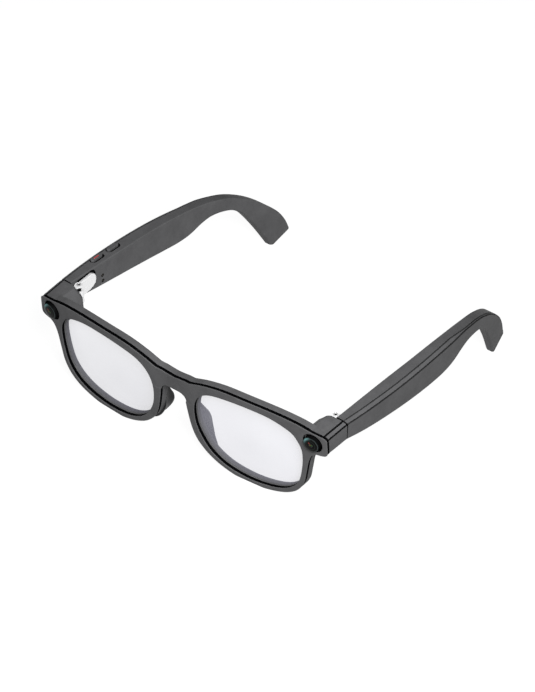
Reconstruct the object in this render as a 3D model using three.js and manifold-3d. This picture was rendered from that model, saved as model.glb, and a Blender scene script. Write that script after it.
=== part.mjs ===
// Camera smart glasses: a full-rim front with a camera at each end, two folding temples that hold the
// electronics, and two push buttons on the wearer's right temple. Millimetres.
// The design frame has X towards the wearer's left, Y towards the wearer's ears and Z up, with the
// front's middle at x = 0, y = 0 and the front's top corners at z = 0. The whole model is then tilted
// and lifted so that it stands on both rims and both temple tips at z = 0.

import * as THREE from 'three';
import { mergeVertices } from 'three/addons/utils/BufferGeometryUtils.js';
import Module from 'manifold-3d';

const wasm = await Module();
wasm.setup();

// ---- driving dimensions -------------------------------------------------------------------------

const TILT = THREE.MathUtils.degToRad(4.5); // turns the design frame to the standing pose
const LIFT = 39.85; // height of the design origin above the ground after the tilt
const CENTRE_Y = 73.39; // half of the standing depth, so that the origin is at the middle
const GAP = 0.3; // clearance between pieces that touch
const FAR = 200; // reach of a cutter that only has to pass right through
const CLEAR = 3; // how far a cutter stands out of the surface it starts from

const FACE_RADIUS = 504; // plan radius of the curved front
const FACE_HALF_WIDTH = 75.5;
const PLATE_BACK = 0.9; // depths behind the front surface
const GASKET_FRONT = PLATE_BACK + GAP;
const GASKET_BACK = 1.6;
const FRAME_FRONT = GASKET_BACK + GAP;
const FRAME_BACK = 4.8;
const LENS_FRONT = 2.5;
const LENS_BACK = 3.8;
const RABBET_BACK = LENS_BACK + GAP;
const LENS_OVERLAP = 0.4; // how far the lens reaches behind the rim
const GASKET_INSET = 0.35;
const FLEX_FRONT = 2.3;
const FLEX_BACK = 2.6;
const FLEX_HALF_HEIGHT = 0.45;
const FLEX_CHANNEL_HALF_HEIGHT = 0.8;
const PAD_BASE = FRAME_BACK + 2 * GAP; // where the nose pads start behind the rims

const END_INNER_X = 62.6; // end pieces, which carry the cameras and the hinges
const END_FACET_X = 66.5; // where the flat top turns down into the inner facet
const END_FACET_DROP = 4.1;
const END_FRONT_Y = 8;
const END_REAR_Y = 18.3;
const END_FRONT_X = 75.3; // outer side at the front and at the rear
const END_REAR_X = 75.8;
const END_RIM_TOP_Z = 1.1; // top of the facet's edge where it leaves the rim
const END_TOP_Z = 0.3;
const END_BOTTOM_Z = -9.3;
const END_BOTTOM_INSET = 0.4;
const CHAMFER_WIDTH = 1.9;
const CHAMFER_DROP = 1.1;

const CAMERA_X = 68.9;
const CAMERA_Z = -4.3;
const CAMERA_RECESS_RADIUS = 4.5;
const CAMERA_BORE_RADIUS = 3.0;
const CAMERA_COVER_RADIUS = 3.7;
const CAMERA_COVER_WALL = 0.6;
const CAMERA_COVER_PROUD = 1.5; // height of the dome in front of the face
const CAMERA_COVER_BACK = 3.0;
const CAMERA_BEZEL_FRONT = 3.3; // depths behind the front surface
const CAMERA_BEZEL_BACK = 4.3;
const CAMERA_BARREL_RADIUS = 2.4;
const CAMERA_BARREL_FRONT = 0.9;
const CAMERA_BARREL_BACK = 6.4;
const CAMERA_BODY_SIZE = 5.6;
const CAMERA_BODY_FRONT = 5.8;
const CAMERA_BODY_BACK = 7.6;
const CAMERA_BOARD_SIZE = 5.7;
const CAMERA_BOARD_THICKNESS = 0.6;
const CAMERA_BAY_SIZE = 6.4;

const HINGE_X = 68;
const HINGE_Y = 21;
const HINGE_TOP_Z = -1.2;
const KNUCKLE_RADIUS = 1.75;
const KNUCKLE_BORE_RADIUS = 0.95;
const KNUCKLE_HEIGHT = 2.7;
const LEAF_THICKNESS = 1.3;
const LEAF_FRONT_Y = 14.5; // the plate inside the end piece
const LEAF_REAR_Y = 18.9;
const LEAF_BOTTOM_Z = -8.5;
const LEAF_X = 69.2; // inner face of the temple leaf
const TEMPLE_LEAF = { frontY: 22.4, rearY: 32.8, bottomZ: -9.9, topZ: -2.6, radius: 3.6 };
const TEMPLE_ARM_Y = [20.4, 23.4];
const SCREW_HEAD_SINK = 0.2; // how deep the screw's head lies under the lug's top
const SCREW_HEAD_HEIGHT = 0.7;

const TEMPLE_FRONT_Y = 18.6;
const TEMPLE_LEAN = 0.1; // how much the temple's sides lean inwards per mm of drop
const LEAN_ZERO_Z = -2; // height at which the lean moves nothing
const BOW_CENTRE_Y = 50;
const BOW_OUTER_X = 77.15;
const BOW = 0.00145; // inward bow of the outer side, per mm squared
const CHAMFER_FADE_Y = 102; // the chamfer is at its full width in front of this
const CHAMFER_FADE_LENGTH = 14;
const CHAMFER_LEAST = 0.5; // its share of the full width along the ear hook
const COVER_THICKNESS = CHAMFER_WIDTH;
const SHELL_WALL = 1.3;
const POCKET_TOP_WALL = 2.4;
const POCKET_FRONT_Y = 33.5;
const POCKET_REAR_Y = 98;

const BUTTON_X = 73.95;
const BUTTON_WIDTH = 1.9;
const BUTTON_LENGTH = 6.6;
const BUTTON_PROUD = 0.45;
const BUTTON_SKIRT = 0.85; // how far the cap reaches below the surface
const BUTTON_GAP = 0.35;
const BUTTON_RECESS_DEPTH = 1.3;
const BUTTON_CENTRES = { capture: 38.9, power: 49.0 };
const STEM = { width: 1.0, length: 2.8, height: 1.6 };
const STEM_HOLE = { width: 1.7, length: 3.6, depth: 4 };
const MARK = { width: 0.5, length: 2.6, depth: 0.4 };
const MARK_PLAY = 0.1; // room round the mark in its groove
const PLUNGER = { width: 0.6, length: 1.6, height: 0.8 };
const SWITCH_BODY = { inner: -1.3, outer: 0.1, length: 3.8, height: 0.9 };
const SWITCH_TRAVEL_GAP = 0.5; // between the stem and the plunger

const CONTACT_Y = 37.4;
const CONTACT_HEIGHTS = [-8.2, -11.0];
const CONTACT_PIN = { radius: 0.42, x: 70.4, length: 1.2 };
const CONTACT_HOLE = { radius: 0.75, x: 69.9, length: 3 };
const CONTACT_CARRIER = { inner: 71.2, outer: 71.8, halfLength: 1.1, margin: 1.0 };
const CONTACT_FOOT = { inner: 70.8, outer: 71.4, half: 0.3 };

// ---- materials ----------------------------------------------------------------------------------

function material(colour, roughness, metalness = 0) {
  return new THREE.MeshStandardMaterial({ color: colour, roughness, metalness });
}

const finishes = {
  frame: () => material('#4a4a4b', 0.45),
  seal: () => material('#0a0a0b', 0.6),
  lens: () => material('#eef0f6', 0.05),
  pad: () => material('#3a3a3c', 0.5),
  cameraBlack: () => material('#101012', 0.35),
  cameraGlass: () => material('#16231f', 0.08),
  steel: () => material('#d9dadb', 0.3, 0.9),
  screw: () => material('#8d8f92', 0.35, 0.9),
  board: () => material('#1f5a34', 0.5),
  flex: () => material('#b06a1e', 0.5),
  battery: () => material('#9a9ca0', 0.4, 0.6),
  speaker: () => material('#26262a', 0.4, 0.3),
  button: () => material('#3c3c3e', 0.45),
  mark: () => material('#c3262b', 0.4),
  contact: () => material('#b08d3e', 0.3, 0.9),
};

// ---- solids -------------------------------------------------------------------------------------

function toSolid(geometry) {
  const bare = geometry.clone();
  bare.deleteAttribute('normal');
  bare.deleteAttribute('uv');
  const merged = mergeVertices(bare, 1e-4);
  const mesh = new wasm.Mesh({
    numProp: 3,
    vertProperties: Float32Array.from(merged.attributes.position.array),
    triVerts: Uint32Array.from(merged.index.array),
  });
  return new wasm.Manifold(mesh);
}

function toGeometry(manifold) {
  const { vertProperties, triVerts } = manifold.getMesh();
  const geometry = new THREE.BufferGeometry();
  geometry.setAttribute('position', new THREE.BufferAttribute(vertProperties, 3));
  geometry.setIndex(new THREE.BufferAttribute(triVerts, 1));
  geometry.computeVertexNormals();
  return geometry;
}

function cut(geometry, ...tools) {
  return toGeometry(tools.reduce((whole, tool) => whole.subtract(toSolid(tool)), toSolid(geometry)));
}

function join(...geometries) {
  return toGeometry(geometries.map(toSolid).reduce((whole, piece) => whole.add(piece)));
}

function common(...geometries) {
  return toGeometry(geometries.map(toSolid).reduce((whole, piece) => whole.intersect(piece)));
}

// The mirror image across x = 0, with its faces turned to point out again.
function mirrored(geometry) {
  const mirror = toGeometry(toSolid(geometry));
  mirror.scale(-1, 1, 1);
  const index = mirror.index.array;
  for (let i = 0; i < index.length; i += 3) {
    [index[i], index[i + 1]] = [index[i + 1], index[i]];
  }
  mirror.computeVertexNormals();
  return mirror;
}

function prismX(outline, from, to, curveSegments = 4) {
  const geometry = new THREE.ExtrudeGeometry(outline, { depth: to - from, bevelEnabled: false, curveSegments });
  const axes = [new THREE.Vector3(0, 1, 0), new THREE.Vector3(0, 0, 1), new THREE.Vector3(1, 0, 0)];
  geometry.applyMatrix4(new THREE.Matrix4().makeBasis(...axes));
  return geometry.translate(from, 0, 0);
}

function prismY(outline, from, to, curveSegments = 4) {
  const geometry = new THREE.ExtrudeGeometry(outline, { depth: to - from, bevelEnabled: false, curveSegments });
  return geometry.rotateX(Math.PI / 2).translate(0, to, 0);
}

function prismZ(outline, from, to, curveSegments = 4) {
  const geometry = new THREE.ExtrudeGeometry(outline, { depth: to - from, bevelEnabled: false, curveSegments });
  return geometry.translate(0, 0, from);
}

function block([x0, y0, z0], [x1, y1, z1]) {
  const geometry = new THREE.BoxGeometry(x1 - x0, y1 - y0, z1 - z0);
  return geometry.translate((x0 + x1) / 2, (y0 + y1) / 2, (z0 + z1) / 2);
}

function post(x, y, fromZ, toZ, radius, sides = 20) {
  const geometry = new THREE.CylinderGeometry(radius, radius, toZ - fromZ, sides);
  return geometry.rotateX(Math.PI / 2).translate(x, y, (fromZ + toZ) / 2);
}

// A skin over convex rings that all have the same number of points, with flat fans as its ends.
function loft(rings) {
  const count = rings[0].length;
  const index = [];
  for (let r = 0; r + 1 < rings.length; r += 1) {
    for (let i = 0; i < count; i += 1) {
      const a = r * count + i;
      const b = r * count + ((i + 1) % count);
      index.push(a, b, b + count, a, b + count, a + count);
    }
  }
  const last = (rings.length - 1) * count;
  for (let i = 1; i + 1 < count; i += 1) {
    index.push(0, i + 1, i, last, last + i, last + i + 1);
  }
  const geometry = new THREE.BufferGeometry().setFromPoints(rings.flat());
  geometry.setIndex(signedVolume(rings.flat(), index) < 0 ? index.reverse() : index);
  return geometry;
}

function signedVolume(points, index) {
  let sum = 0;
  for (let i = 0; i < index.length; i += 3) {
    const [a, b, c] = [points[index[i]], points[index[i + 1]], points[index[i + 2]]];
    sum += a.dot(b.clone().cross(c));
  }
  return sum / 6;
}

// ---- outlines -----------------------------------------------------------------------------------

function vectors(pairs) {
  return pairs.map(([u, v]) => new THREE.Vector2(u, v));
}

function smooth(pairs, pieces) {
  return new THREE.SplineCurve(vectors(pairs)).getPoints(pieces);
}

// A closed outline moved outwards by a distance, or inwards by a negative one.
function grow(outline, distance) {
  const sign = THREE.ShapeUtils.area(outline) > 0 ? 1 : -1;
  return outline.map((point, i) => {
    const before = outline[(i + outline.length - 1) % outline.length];
    const after = outline[(i + 1) % outline.length];
    const along = after.clone().sub(before).normalize();
    return new THREE.Vector2(point.x + sign * along.y * distance, point.y - sign * along.x * distance);
  });
}

function mirroredOutline(outline) {
  return outline.map((point) => new THREE.Vector2(-point.x, point.y)).reverse();
}

// The right half of the front's outline, from the top of the bridge round to its underside.
function frontHalfOutline() {
  const bridgeTop = smooth([[0, -2.15], [4.7, -1.75], [8.7, -1.0]], 3);
  const brow = smooth([
    [8.7, -1.0], [16, 1.3], [25, 2.95], [35, 3.4], [50, 3.45], [61, 2.6], [68.5, 1.0], [74.6, 0.2],
  ], 16);
  const end = smooth([[75.5, -1.2], [75.5, -7.6], [74.6, -9.2], [72.4, -9.7]], 5);
  const shoulder = smooth([
    [70.4, -9.9], [68.3, -11.3], [66.5, -15.2], [65.1, -22.0], [63.7, -28.4], [60.7, -33.2],
  ], 12);
  const lower = smooth([
    [56.9, -36.2], [51, -38.6], [42.5, -40.4], [33.5, -40.6], [24.5, -38.6], [17.5, -35.3], [12.6, -31],
  ], 13);
  const nose = smooth([[10.3, -27.4], [8.6, -22.5], [7.2, -15.5], [6.5, -11.2], [4.1, -9.1], [0, -8.85]], 9);
  return [...bridgeTop, ...brow.slice(1), ...end, ...shoulder, ...lower, ...nose];
}

function frontOutline() {
  const half = frontHalfOutline();
  return [...half, ...mirroredOutline(half).slice(1, -1)].reverse();
}

// The left lens opening, seen from the front.
function lensOutline() {
  const corner = [[58.5, -2.9], [61.8, -6.3], [63.8, -11.5], [63.4, -20.0]];
  const lower = [[61.0, -28.8], [56.0, -34.3], [49.0, -37.4], [38.0, -38.65], [26.5, -37.2], [18.5, -33.0]];
  const noseSide = [[13.6, -26.8], [11.1, -20.0], [11.0, -12.0], [13.6, -6.1], [19.0, -2.2]];
  const top = [[28.0, -0.4], [40.0, 0.35], [50.0, -0.2]];
  const loop = [...corner, ...lower, ...noseSide, ...top, corner[0]];
  const points = new THREE.SplineCurve(vectors(loop)).getPoints(44);
  return points.slice(0, -1);
}

const FRONT_OUTLINE = frontOutline();
const LENS_OPENING = lensOutline();

// ---- the curved front ---------------------------------------------------------------------------

function faceY(x) {
  return FACE_RADIUS - Math.sqrt(FACE_RADIUS ** 2 - x ** 2);
}

// The slab between two depths behind the curved front surface.
function faceSlab(front, back) {
  const reach = Math.asin((FACE_HALF_WIDTH + CLEAR) / FACE_RADIUS);
  const down = -Math.PI / 2;
  const outline = new THREE.Shape();
  outline.absarc(0, FACE_RADIUS, FACE_RADIUS - front, down - reach, down + reach, false);
  outline.absarc(0, FACE_RADIUS, FACE_RADIUS - back, down + reach, down - reach, true);
  return prismZ(outline, -FAR, FAR, 7);
}

function facePiece(outline, holes, front, back) {
  const shape = new THREE.Shape(outline);
  holes.forEach((hole) => shape.holes.push(new THREE.Path(hole)));
  return common(prismY(shape, -FAR, FAR), faceSlab(front, back));
}

function bothSides(outline) {
  return [outline, mirroredOutline(outline)];
}

// Everything below the ground plane of the standing pose, as a cutter.
function belowGround() {
  const box = block([-FAR, -FAR, -FAR], [FAR, FAR, 0]);
  return box.translate(0, 0, -LIFT).rotateX(-TILT);
}

function cameraPlace(side) {
  const turn = Math.asin(CAMERA_X / FACE_RADIUS);
  const matrix = new THREE.Matrix4().makeRotationZ(side * turn);
  return matrix.setPosition(side * CAMERA_X, faceY(CAMERA_X), CAMERA_Z);
}

// A turned solid on a camera's axis: its profile is radius against depth behind the front surface.
function cameraTurning(side, profile, sides = 28) {
  return new THREE.LatheGeometry(vectors(profile), sides).applyMatrix4(cameraPlace(side));
}

function cameraCylinder(side, radius, from, to) {
  return cameraTurning(side, [[0, from], [radius, from], [radius, to], [0, to]]);
}

function cameraBlock(side, size, from, to) {
  const half = size / 2;
  return block([-half, from, -half], [half, to, half]).applyMatrix4(cameraPlace(side));
}

function frontPlate() {
  const plate = facePiece(FRONT_OUTLINE, bothSides(LENS_OPENING), 0, PLATE_BACK);
  const holes = [1, -1].map((side) => cameraCylinder(side, CAMERA_RECESS_RADIUS, -CLEAR, CLEAR));
  return cut(plate, ...holes, belowGround());
}

function frontGasket() {
  const outline = grow(FRONT_OUTLINE, -GASKET_INSET);
  const seal = facePiece(outline, bothSides(grow(LENS_OPENING, GASKET_INSET)), GASKET_FRONT, GASKET_BACK);
  const holes = [1, -1].map((side) => cameraCylinder(side, CAMERA_RECESS_RADIUS, -CLEAR, CLEAR));
  return cut(seal, ...holes, belowGround());
}

// One end piece: a block behind the front's corner with an outer chamfer and a wide inner facet.
function endPiece() {
  const section = (y, facetTop, outerX) => [
    [END_INNER_X, END_BOTTOM_Z],
    [outerX - END_BOTTOM_INSET, END_BOTTOM_Z],
    [outerX, END_TOP_Z - CHAMFER_DROP],
    [outerX - CHAMFER_WIDTH, END_TOP_Z],
    [END_FACET_X, facetTop],
    [END_INNER_X, facetTop - END_FACET_DROP],
  ].map(([x, z]) => new THREE.Vector3(x, y, z));
  const body = loft([
    section(END_FRONT_Y, END_RIM_TOP_Z, END_FRONT_X),
    section(END_REAR_Y, END_TOP_Z, END_REAR_X),
  ]);
  const rearCorner = vectors([[61, 16.2], [63.8, 16.9], [66.0, 18.5], [66.0, 20], [61, 20]]);
  return cut(body, prismZ(new THREE.Shape(rearCorner), -FAR, FAR));
}

function hingeSlot() {
  const half = LEAF_THICKNESS / 2 + GAP;
  const low = [HINGE_X - half, LEAF_FRONT_Y - GAP, LEAF_BOTTOM_Z - GAP];
  return block(low, [HINGE_X + half, END_REAR_Y + CLEAR, HINGE_TOP_Z + GAP]);
}

// The middle of the flexible circuit's band above the lenses, from the bridge to an end piece.
const FLEX_LINE = [[0, -4.2], [12, -1.4], [20, 0.2], [30, 1.7], [50, 1.7], [57, 0.9], [63.6, -2.4]];

function browBand(halfHeight) {
  const line = smooth(FLEX_LINE, 18);
  const whole = [...line.slice(1).map((p) => new THREE.Vector2(-p.x, p.y)).reverse(), ...line];
  const upper = whole.map((p) => new THREE.Vector2(p.x, p.y + halfHeight));
  const lower = whole.map((p) => new THREE.Vector2(p.x, p.y - halfHeight));
  return [...lower, ...upper.reverse()];
}

function browFlex() {
  return facePiece(browBand(FLEX_HALF_HEIGHT), [], FLEX_FRONT, FLEX_BACK);
}

function backFrame() {
  const rims = facePiece(FRONT_OUTLINE, bothSides(LENS_OPENING), FRAME_FRONT, FRAME_BACK);
  const rabbet = facePiece(grow(LENS_OPENING, LENS_OVERLAP + GAP), [], FRAME_FRONT - CLEAR, RABBET_BACK);
  const ends = [endPiece(), mirrored(endPiece())];
  const channelBack = FLEX_BACK + GAP;
  const channel = facePiece(browBand(FLEX_CHANNEL_HALF_HEIGHT), [], FRAME_FRONT - CLEAR, channelBack);
  const bayFront = CAMERA_BODY_FRONT - GAP;
  const bayBack = CAMERA_BODY_BACK + 2 * GAP + CAMERA_BOARD_THICKNESS + GAP;
  const bays = [1, -1].flatMap((side) => [
    cameraCylinder(side, CAMERA_RECESS_RADIUS, -CLEAR, CAMERA_BEZEL_BACK + GAP),
    cameraCylinder(side, CAMERA_BORE_RADIUS, 0, bayFront + GAP),
    cameraBlock(side, CAMERA_BAY_SIZE, bayFront, bayBack),
  ]);
  const slots = [hingeSlot(), mirrored(hingeSlot())];
  return cut(join(rims, ...ends), rabbet, mirrored(rabbet), channel, ...bays, ...slots, belowGround());
}

function lens() {
  return facePiece(grow(LENS_OPENING, LENS_OVERLAP), [], LENS_FRONT, LENS_BACK);
}

// A nose pad: a fin behind the rim's nose side, deepest two thirds of the way down.
function nosePad() {
  const stations = [
    [-12.0, 6.5, 0.6], [-15.0, 6.9, 1.7], [-19.6, 7.6, 3.9], [-22.4, 8.0, 5.4],
    [-24.8, 8.3, 6.1], [-27.2, 8.9, 6.1], [-29.2, 9.6, 5.4], [-30.6, 10.4, 4.0],
  ].map(([z, x, depth]) => ({ z, x, depth }));
  const section = [[0.4, 0], [2.6, 0], [2.9, 0.6], [2.6, 1], [1.5, 0.97], [0.8, 0.6]];
  const rings = stations.map(({ z, x, depth }) => (
    section.map(([across, share]) => new THREE.Vector3(x + across, PAD_BASE + depth * share, z))
  ));
  return loft(rings);
}

// ---- cameras ------------------------------------------------------------------------------------

function cameraBezel(side) {
  const inner = CAMERA_BARREL_RADIUS + GAP;
  const outer = CAMERA_RECESS_RADIUS - GAP;
  const [from, to] = [CAMERA_BEZEL_FRONT, CAMERA_BEZEL_BACK];
  return cameraTurning(side, [[inner, from], [outer, from], [outer, to], [inner, to], [inner, from]]);
}

// The clear dome: a thin shell whose skirt stands on the bezel.
function cameraCover(side) {
  const steps = 4;
  const [outer, hollow] = [CAMERA_COVER_RADIUS, CAMERA_COVER_RADIUS - CAMERA_COVER_WALL];
  const height = CAMERA_COVER_PROUD + GAP;
  const dome = [];
  const inside = [];
  for (let i = 0; i <= steps; i += 1) {
    const turn = (i / steps) * (Math.PI / 2);
    const [across, along] = [Math.sin(turn), Math.cos(turn)];
    dome.push([outer * across, GAP - height * along]);
    inside.unshift([hollow * across, GAP + CAMERA_COVER_WALL - height * along]);
  }
  const skirt = [[outer, CAMERA_COVER_BACK], [hollow, CAMERA_COVER_BACK]];
  return cameraTurning(side, [...dome, ...skirt, ...inside]);
}

function cameraModule(side) {
  const lensRadius = CAMERA_BARREL_RADIUS / 2;
  const barrel = cameraTurning(side, [
    [0, CAMERA_BARREL_FRONT + GAP],
    [lensRadius, CAMERA_BARREL_FRONT + GAP],
    [lensRadius + GAP, CAMERA_BARREL_FRONT],
    [CAMERA_BARREL_RADIUS, CAMERA_BARREL_FRONT],
    [CAMERA_BARREL_RADIUS, CAMERA_BARREL_BACK],
    [0, CAMERA_BARREL_BACK],
  ], 24);
  return join(barrel, cameraBlock(side, CAMERA_BODY_SIZE, CAMERA_BODY_FRONT, CAMERA_BODY_BACK));
}

function cameraBoard(side) {
  const front = CAMERA_BODY_BACK + GAP;
  return cameraBlock(side, CAMERA_BOARD_SIZE, front, front + CAMERA_BOARD_THICKNESS);
}

// ---- hinges -------------------------------------------------------------------------------------

function knuckle(index) {
  const top = HINGE_TOP_Z - index * (KNUCKLE_HEIGHT + GAP);
  return [top - KNUCKLE_HEIGHT, top];
}

function bored(geometry) {
  return cut(geometry, post(HINGE_X, HINGE_Y, -FAR, FAR, KNUCKLE_BORE_RADIUS, 16));
}

function frontLeaf() {
  const half = LEAF_THICKNESS / 2;
  const low = [HINGE_X - half, LEAF_FRONT_Y, LEAF_BOTTOM_Z];
  const plate = block(low, [HINGE_X + half, LEAF_REAR_Y, HINGE_TOP_Z]);
  const arms = [0, 2].flatMap((index) => {
    const [bottom, top] = knuckle(index);
    const arm = block([HINGE_X - half, LEAF_REAR_Y - GAP, bottom], [HINGE_X + half, HINGE_Y, top]);
    return [arm, post(HINGE_X, HINGE_Y, bottom, top, KNUCKLE_RADIUS)];
  });
  return bored(join(plate, ...arms));
}

// The temple leaf's side outline, grown all round by extra: square in front and rounded behind.
function leafOutline(extra) {
  const [front, back] = [TEMPLE_LEAF.frontY - extra, TEMPLE_LEAF.rearY + extra];
  const [bottom, top] = [TEMPLE_LEAF.bottomZ - extra, TEMPLE_LEAF.topZ + extra];
  const radius = TEMPLE_LEAF.radius + extra;
  const outline = new THREE.Shape();
  outline.moveTo(front, top);
  outline.lineTo(front, bottom);
  outline.lineTo(back - 1.4 * radius, bottom);
  outline.quadraticCurveTo(back, bottom + 0.2 * radius, back, bottom + radius);
  outline.quadraticCurveTo(back, top, back - 0.6 * radius, top);
  outline.closePath();
  return outline;
}

function templeLeaf() {
  const [low, high] = knuckle(1);
  const [armFront, armRear] = TEMPLE_ARM_Y;
  const plate = prismX(leafOutline(0), LEAF_X, LEAF_X + LEAF_THICKNESS, 5);
  const arm = block([HINGE_X, armFront, low], [LEAF_X + LEAF_THICKNESS, armRear, high]);
  return bored(join(plate, arm, post(HINGE_X, HINGE_Y, low, high, KNUCKLE_RADIUS)));
}

function hingeScrew() {
  const [bottom] = knuckle(2);
  const headTop = HINGE_TOP_Z - SCREW_HEAD_SINK;
  const headBottom = headTop - SCREW_HEAD_HEIGHT;
  const head = post(HINGE_X, HINGE_Y, headBottom, headTop, KNUCKLE_BORE_RADIUS - GAP / 3, 16);
  const shank = post(HINGE_X, HINGE_Y, bottom + GAP, headBottom + GAP, KNUCKLE_BORE_RADIUS - GAP, 16);
  return join(shank, head);
}

// ---- temples ------------------------------------------------------------------------------------

// The temple's side outline as (y, z) points, and the plan of its inner side as (x, y) points.
const TEMPLE_TOP = smooth([
  [TEMPLE_FRONT_Y, 0.3], [45, -2.2], [75, -5.5], [95, -8.7], [108, -11.8],
  [117, -15.2], [127, -22.3], [136.3, -32.6], [141.4, -41.6], [143.4, -47.0],
], 26);
const TEMPLE_END = smooth([[142.9, -48.4], [141.2, -49.6], [137.4, -50.9], [133.6, -50.8]], 5);
const TEMPLE_BOTTOM = smooth([
  [131.9, -49.2], [127.3, -39], [122.4, -29.8], [119, -25.1], [114.6, -21.4], [108.8, -19.4],
  [101.5, -19.6], [92, -21.2], [82, -21.3], [65, -18.9], [45, -15.2], [30, -12.3], [TEMPLE_FRONT_Y, -9.6],
], 28);
const TEMPLE_INNER = [
  [70.2, 16], [70.2, 22], [69.9, 35], [69.5, 50], [69.1, 68], [68.4, 82], [67.4, 95], [66.1, 106],
  [64.4, 117], [62.0, 127], [59.2, 136], [56.9, 145],
];

function heightOn(line, y) {
  const from = line.findIndex((point, i) => i + 1 < line.length && (point.x - y) * (line[i + 1].x - y) <= 0);
  const [a, b] = [line[from], line[from + 1]];
  return a.y + (b.y - a.y) * (y - a.x) / (b.x - a.x);
}

function outerX(y) {
  return BOW_OUTER_X - BOW * (y - BOW_CENTRE_Y) ** 2;
}

function templeProfile() {
  return new THREE.Shape([...TEMPLE_TOP, ...TEMPLE_END, ...TEMPLE_BOTTOM]);
}

function outerLine(inset) {
  const count = 16;
  const [from, to] = [TEMPLE_FRONT_Y - CLEAR, TEMPLE_TOP.at(-1).x + 2 * CLEAR];
  const points = [];
  for (let i = 0; i <= count; i += 1) {
    const y = from + (i * (to - from)) / count;
    points.push(new THREE.Vector2(outerX(y) - inset, y));
  }
  return points;
}

// A plan-view band between two lines that both run from front to back.
function planBand(inner, outer) {
  return prismZ(new THREE.Shape([...outer, ...[...inner].reverse()]), -FAR, FAR);
}

function innerLine(inset) {
  return smooth(TEMPLE_INNER, 18).map((point) => new THREE.Vector2(point.x + inset, point.y));
}

// The wedge that takes the temple's upper outer edge off, narrower along the ear hook.
function chamferWedge() {
  const rings = TEMPLE_TOP.map((point, i) => {
    const before = TEMPLE_TOP[Math.max(i - 1, 0)];
    const after = TEMPLE_TOP[Math.min(i + 1, TEMPLE_TOP.length - 1)];
    const along = after.clone().sub(before).normalize();
    const fade = Math.min(1, Math.max(CHAMFER_LEAST, (CHAMFER_FADE_Y - point.x) / CHAMFER_FADE_LENGTH));
    const [x, width, drop] = [outerX(point.x), CHAMFER_WIDTH * fade, CHAMFER_DROP * fade];
    const offset = (dx, rise) => new THREE.Vector3(x + dx, point.x - along.y * rise, point.y + along.x * rise);
    return [offset(-1.5 * width, 0.5 * drop), offset(0.5 * width, -1.5 * drop), offset(CLEAR, CLEAR)];
  });
  rings.unshift(rings[0].map((point) => point.clone().setY(point.y - CLEAR)));
  rings.push(rings.at(-1).map((point) => point.clone().add(new THREE.Vector3(-0.5, 1, -CLEAR))));
  return loft(rings);
}

function lean(geometry) {
  const shear = new THREE.Matrix4().makeShear(0, 0, 0, 0, TEMPLE_LEAN, 0);
  return geometry.applyMatrix4(shear).translate(-TEMPLE_LEAN * LEAN_ZERO_Z, 0, 0);
}

const BAND = 20; // wider than the temple is thick

// The temple's outside: its side profile between the upright inner side and the leaning outer side.
function templeBlade() {
  const side = prismX(templeProfile(), 0, FAR);
  const outside = lean(cut(common(side, planBand(innerLine(-BAND), outerLine(0))), chamferWedge()));
  return common(outside, planBand(innerLine(0), innerLine(BAND)));
}

// The hollow of a temple, open towards its cover.
function templePocket() {
  const count = 8;
  const upper = [];
  const lower = [];
  for (let i = 0; i <= count; i += 1) {
    const y = POCKET_FRONT_Y + (i * (POCKET_REAR_Y - POCKET_FRONT_Y)) / count;
    upper.push(new THREE.Vector2(y, heightOn(TEMPLE_TOP, y) - POCKET_TOP_WALL));
    lower.push(new THREE.Vector2(y, heightOn(TEMPLE_BOTTOM, y) + SHELL_WALL));
  }
  const side = prismX(new THREE.Shape([...lower, ...upper.reverse()]), 0, FAR);
  return common(side, planBand(innerLine(SHELL_WALL), innerLine(BAND)));
}

function pillOutline(width, length) {
  const [r, half] = [width / 2, length / 2 - width / 2];
  const outline = new THREE.Shape();
  outline.absarc(0, half, r, 0, Math.PI, false);
  outline.absarc(0, -half, r, Math.PI, 2 * Math.PI, false);
  outline.closePath();
  return outline;
}

function buttonPlace(centre) {
  const [before, after] = [centre - BUTTON_LENGTH / 2, centre + BUTTON_LENGTH / 2];
  const rise = heightOn(TEMPLE_TOP, after) - heightOn(TEMPLE_TOP, before);
  const matrix = new THREE.Matrix4().makeRotationX(Math.atan(rise / (after - before)));
  return matrix.setPosition(BUTTON_X, centre, heightOn(TEMPLE_TOP, centre));
}

function buttonRecess(centre) {
  const [width, length] = [BUTTON_WIDTH + 2 * BUTTON_GAP, BUTTON_LENGTH + 2 * BUTTON_GAP];
  const well = prismZ(pillOutline(width, length), -BUTTON_RECESS_DEPTH, CLEAR, 5);
  const hole = prismZ(pillOutline(STEM_HOLE.width, STEM_HOLE.length), -STEM_HOLE.depth, 0, 3);
  return join(well, hole).applyMatrix4(buttonPlace(centre));
}

function buttonCap(centre) {
  const cap = prismZ(pillOutline(BUTTON_WIDTH, BUTTON_LENGTH), -BUTTON_SKIRT, BUTTON_PROUD, 5);
  const stem = prismZ(pillOutline(STEM.width, STEM.length), -BUTTON_SKIRT - STEM.height, 0, 3);
  return join(cap, stem).applyMatrix4(buttonPlace(centre));
}

// The coloured mark on the capture button, or with a grown size the groove that holds it.
function captureMark(grown) {
  const outline = pillOutline(MARK.width + 2 * grown, MARK.length + 2 * grown);
  const mark = prismZ(outline, BUTTON_PROUD - MARK.depth - grown, BUTTON_PROUD + 2 * grown, 3);
  return mark.applyMatrix4(buttonPlace(BUTTON_CENTRES.capture));
}

function tactSwitch(centre) {
  const top = -BUTTON_SKIRT - STEM.height - SWITCH_TRAVEL_GAP;
  const bodyTop = top - PLUNGER.height / 2;
  const { inner, outer, length, height } = SWITCH_BODY;
  const body = block([inner, -length / 2, bodyTop - height], [outer, length / 2, bodyTop]);
  const plunger = prismZ(pillOutline(PLUNGER.width, PLUNGER.length), top - PLUNGER.height, top, 3);
  return join(body, plunger.translate(-GAP, 0, 0)).applyMatrix4(buttonPlace(centre));
}

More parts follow.
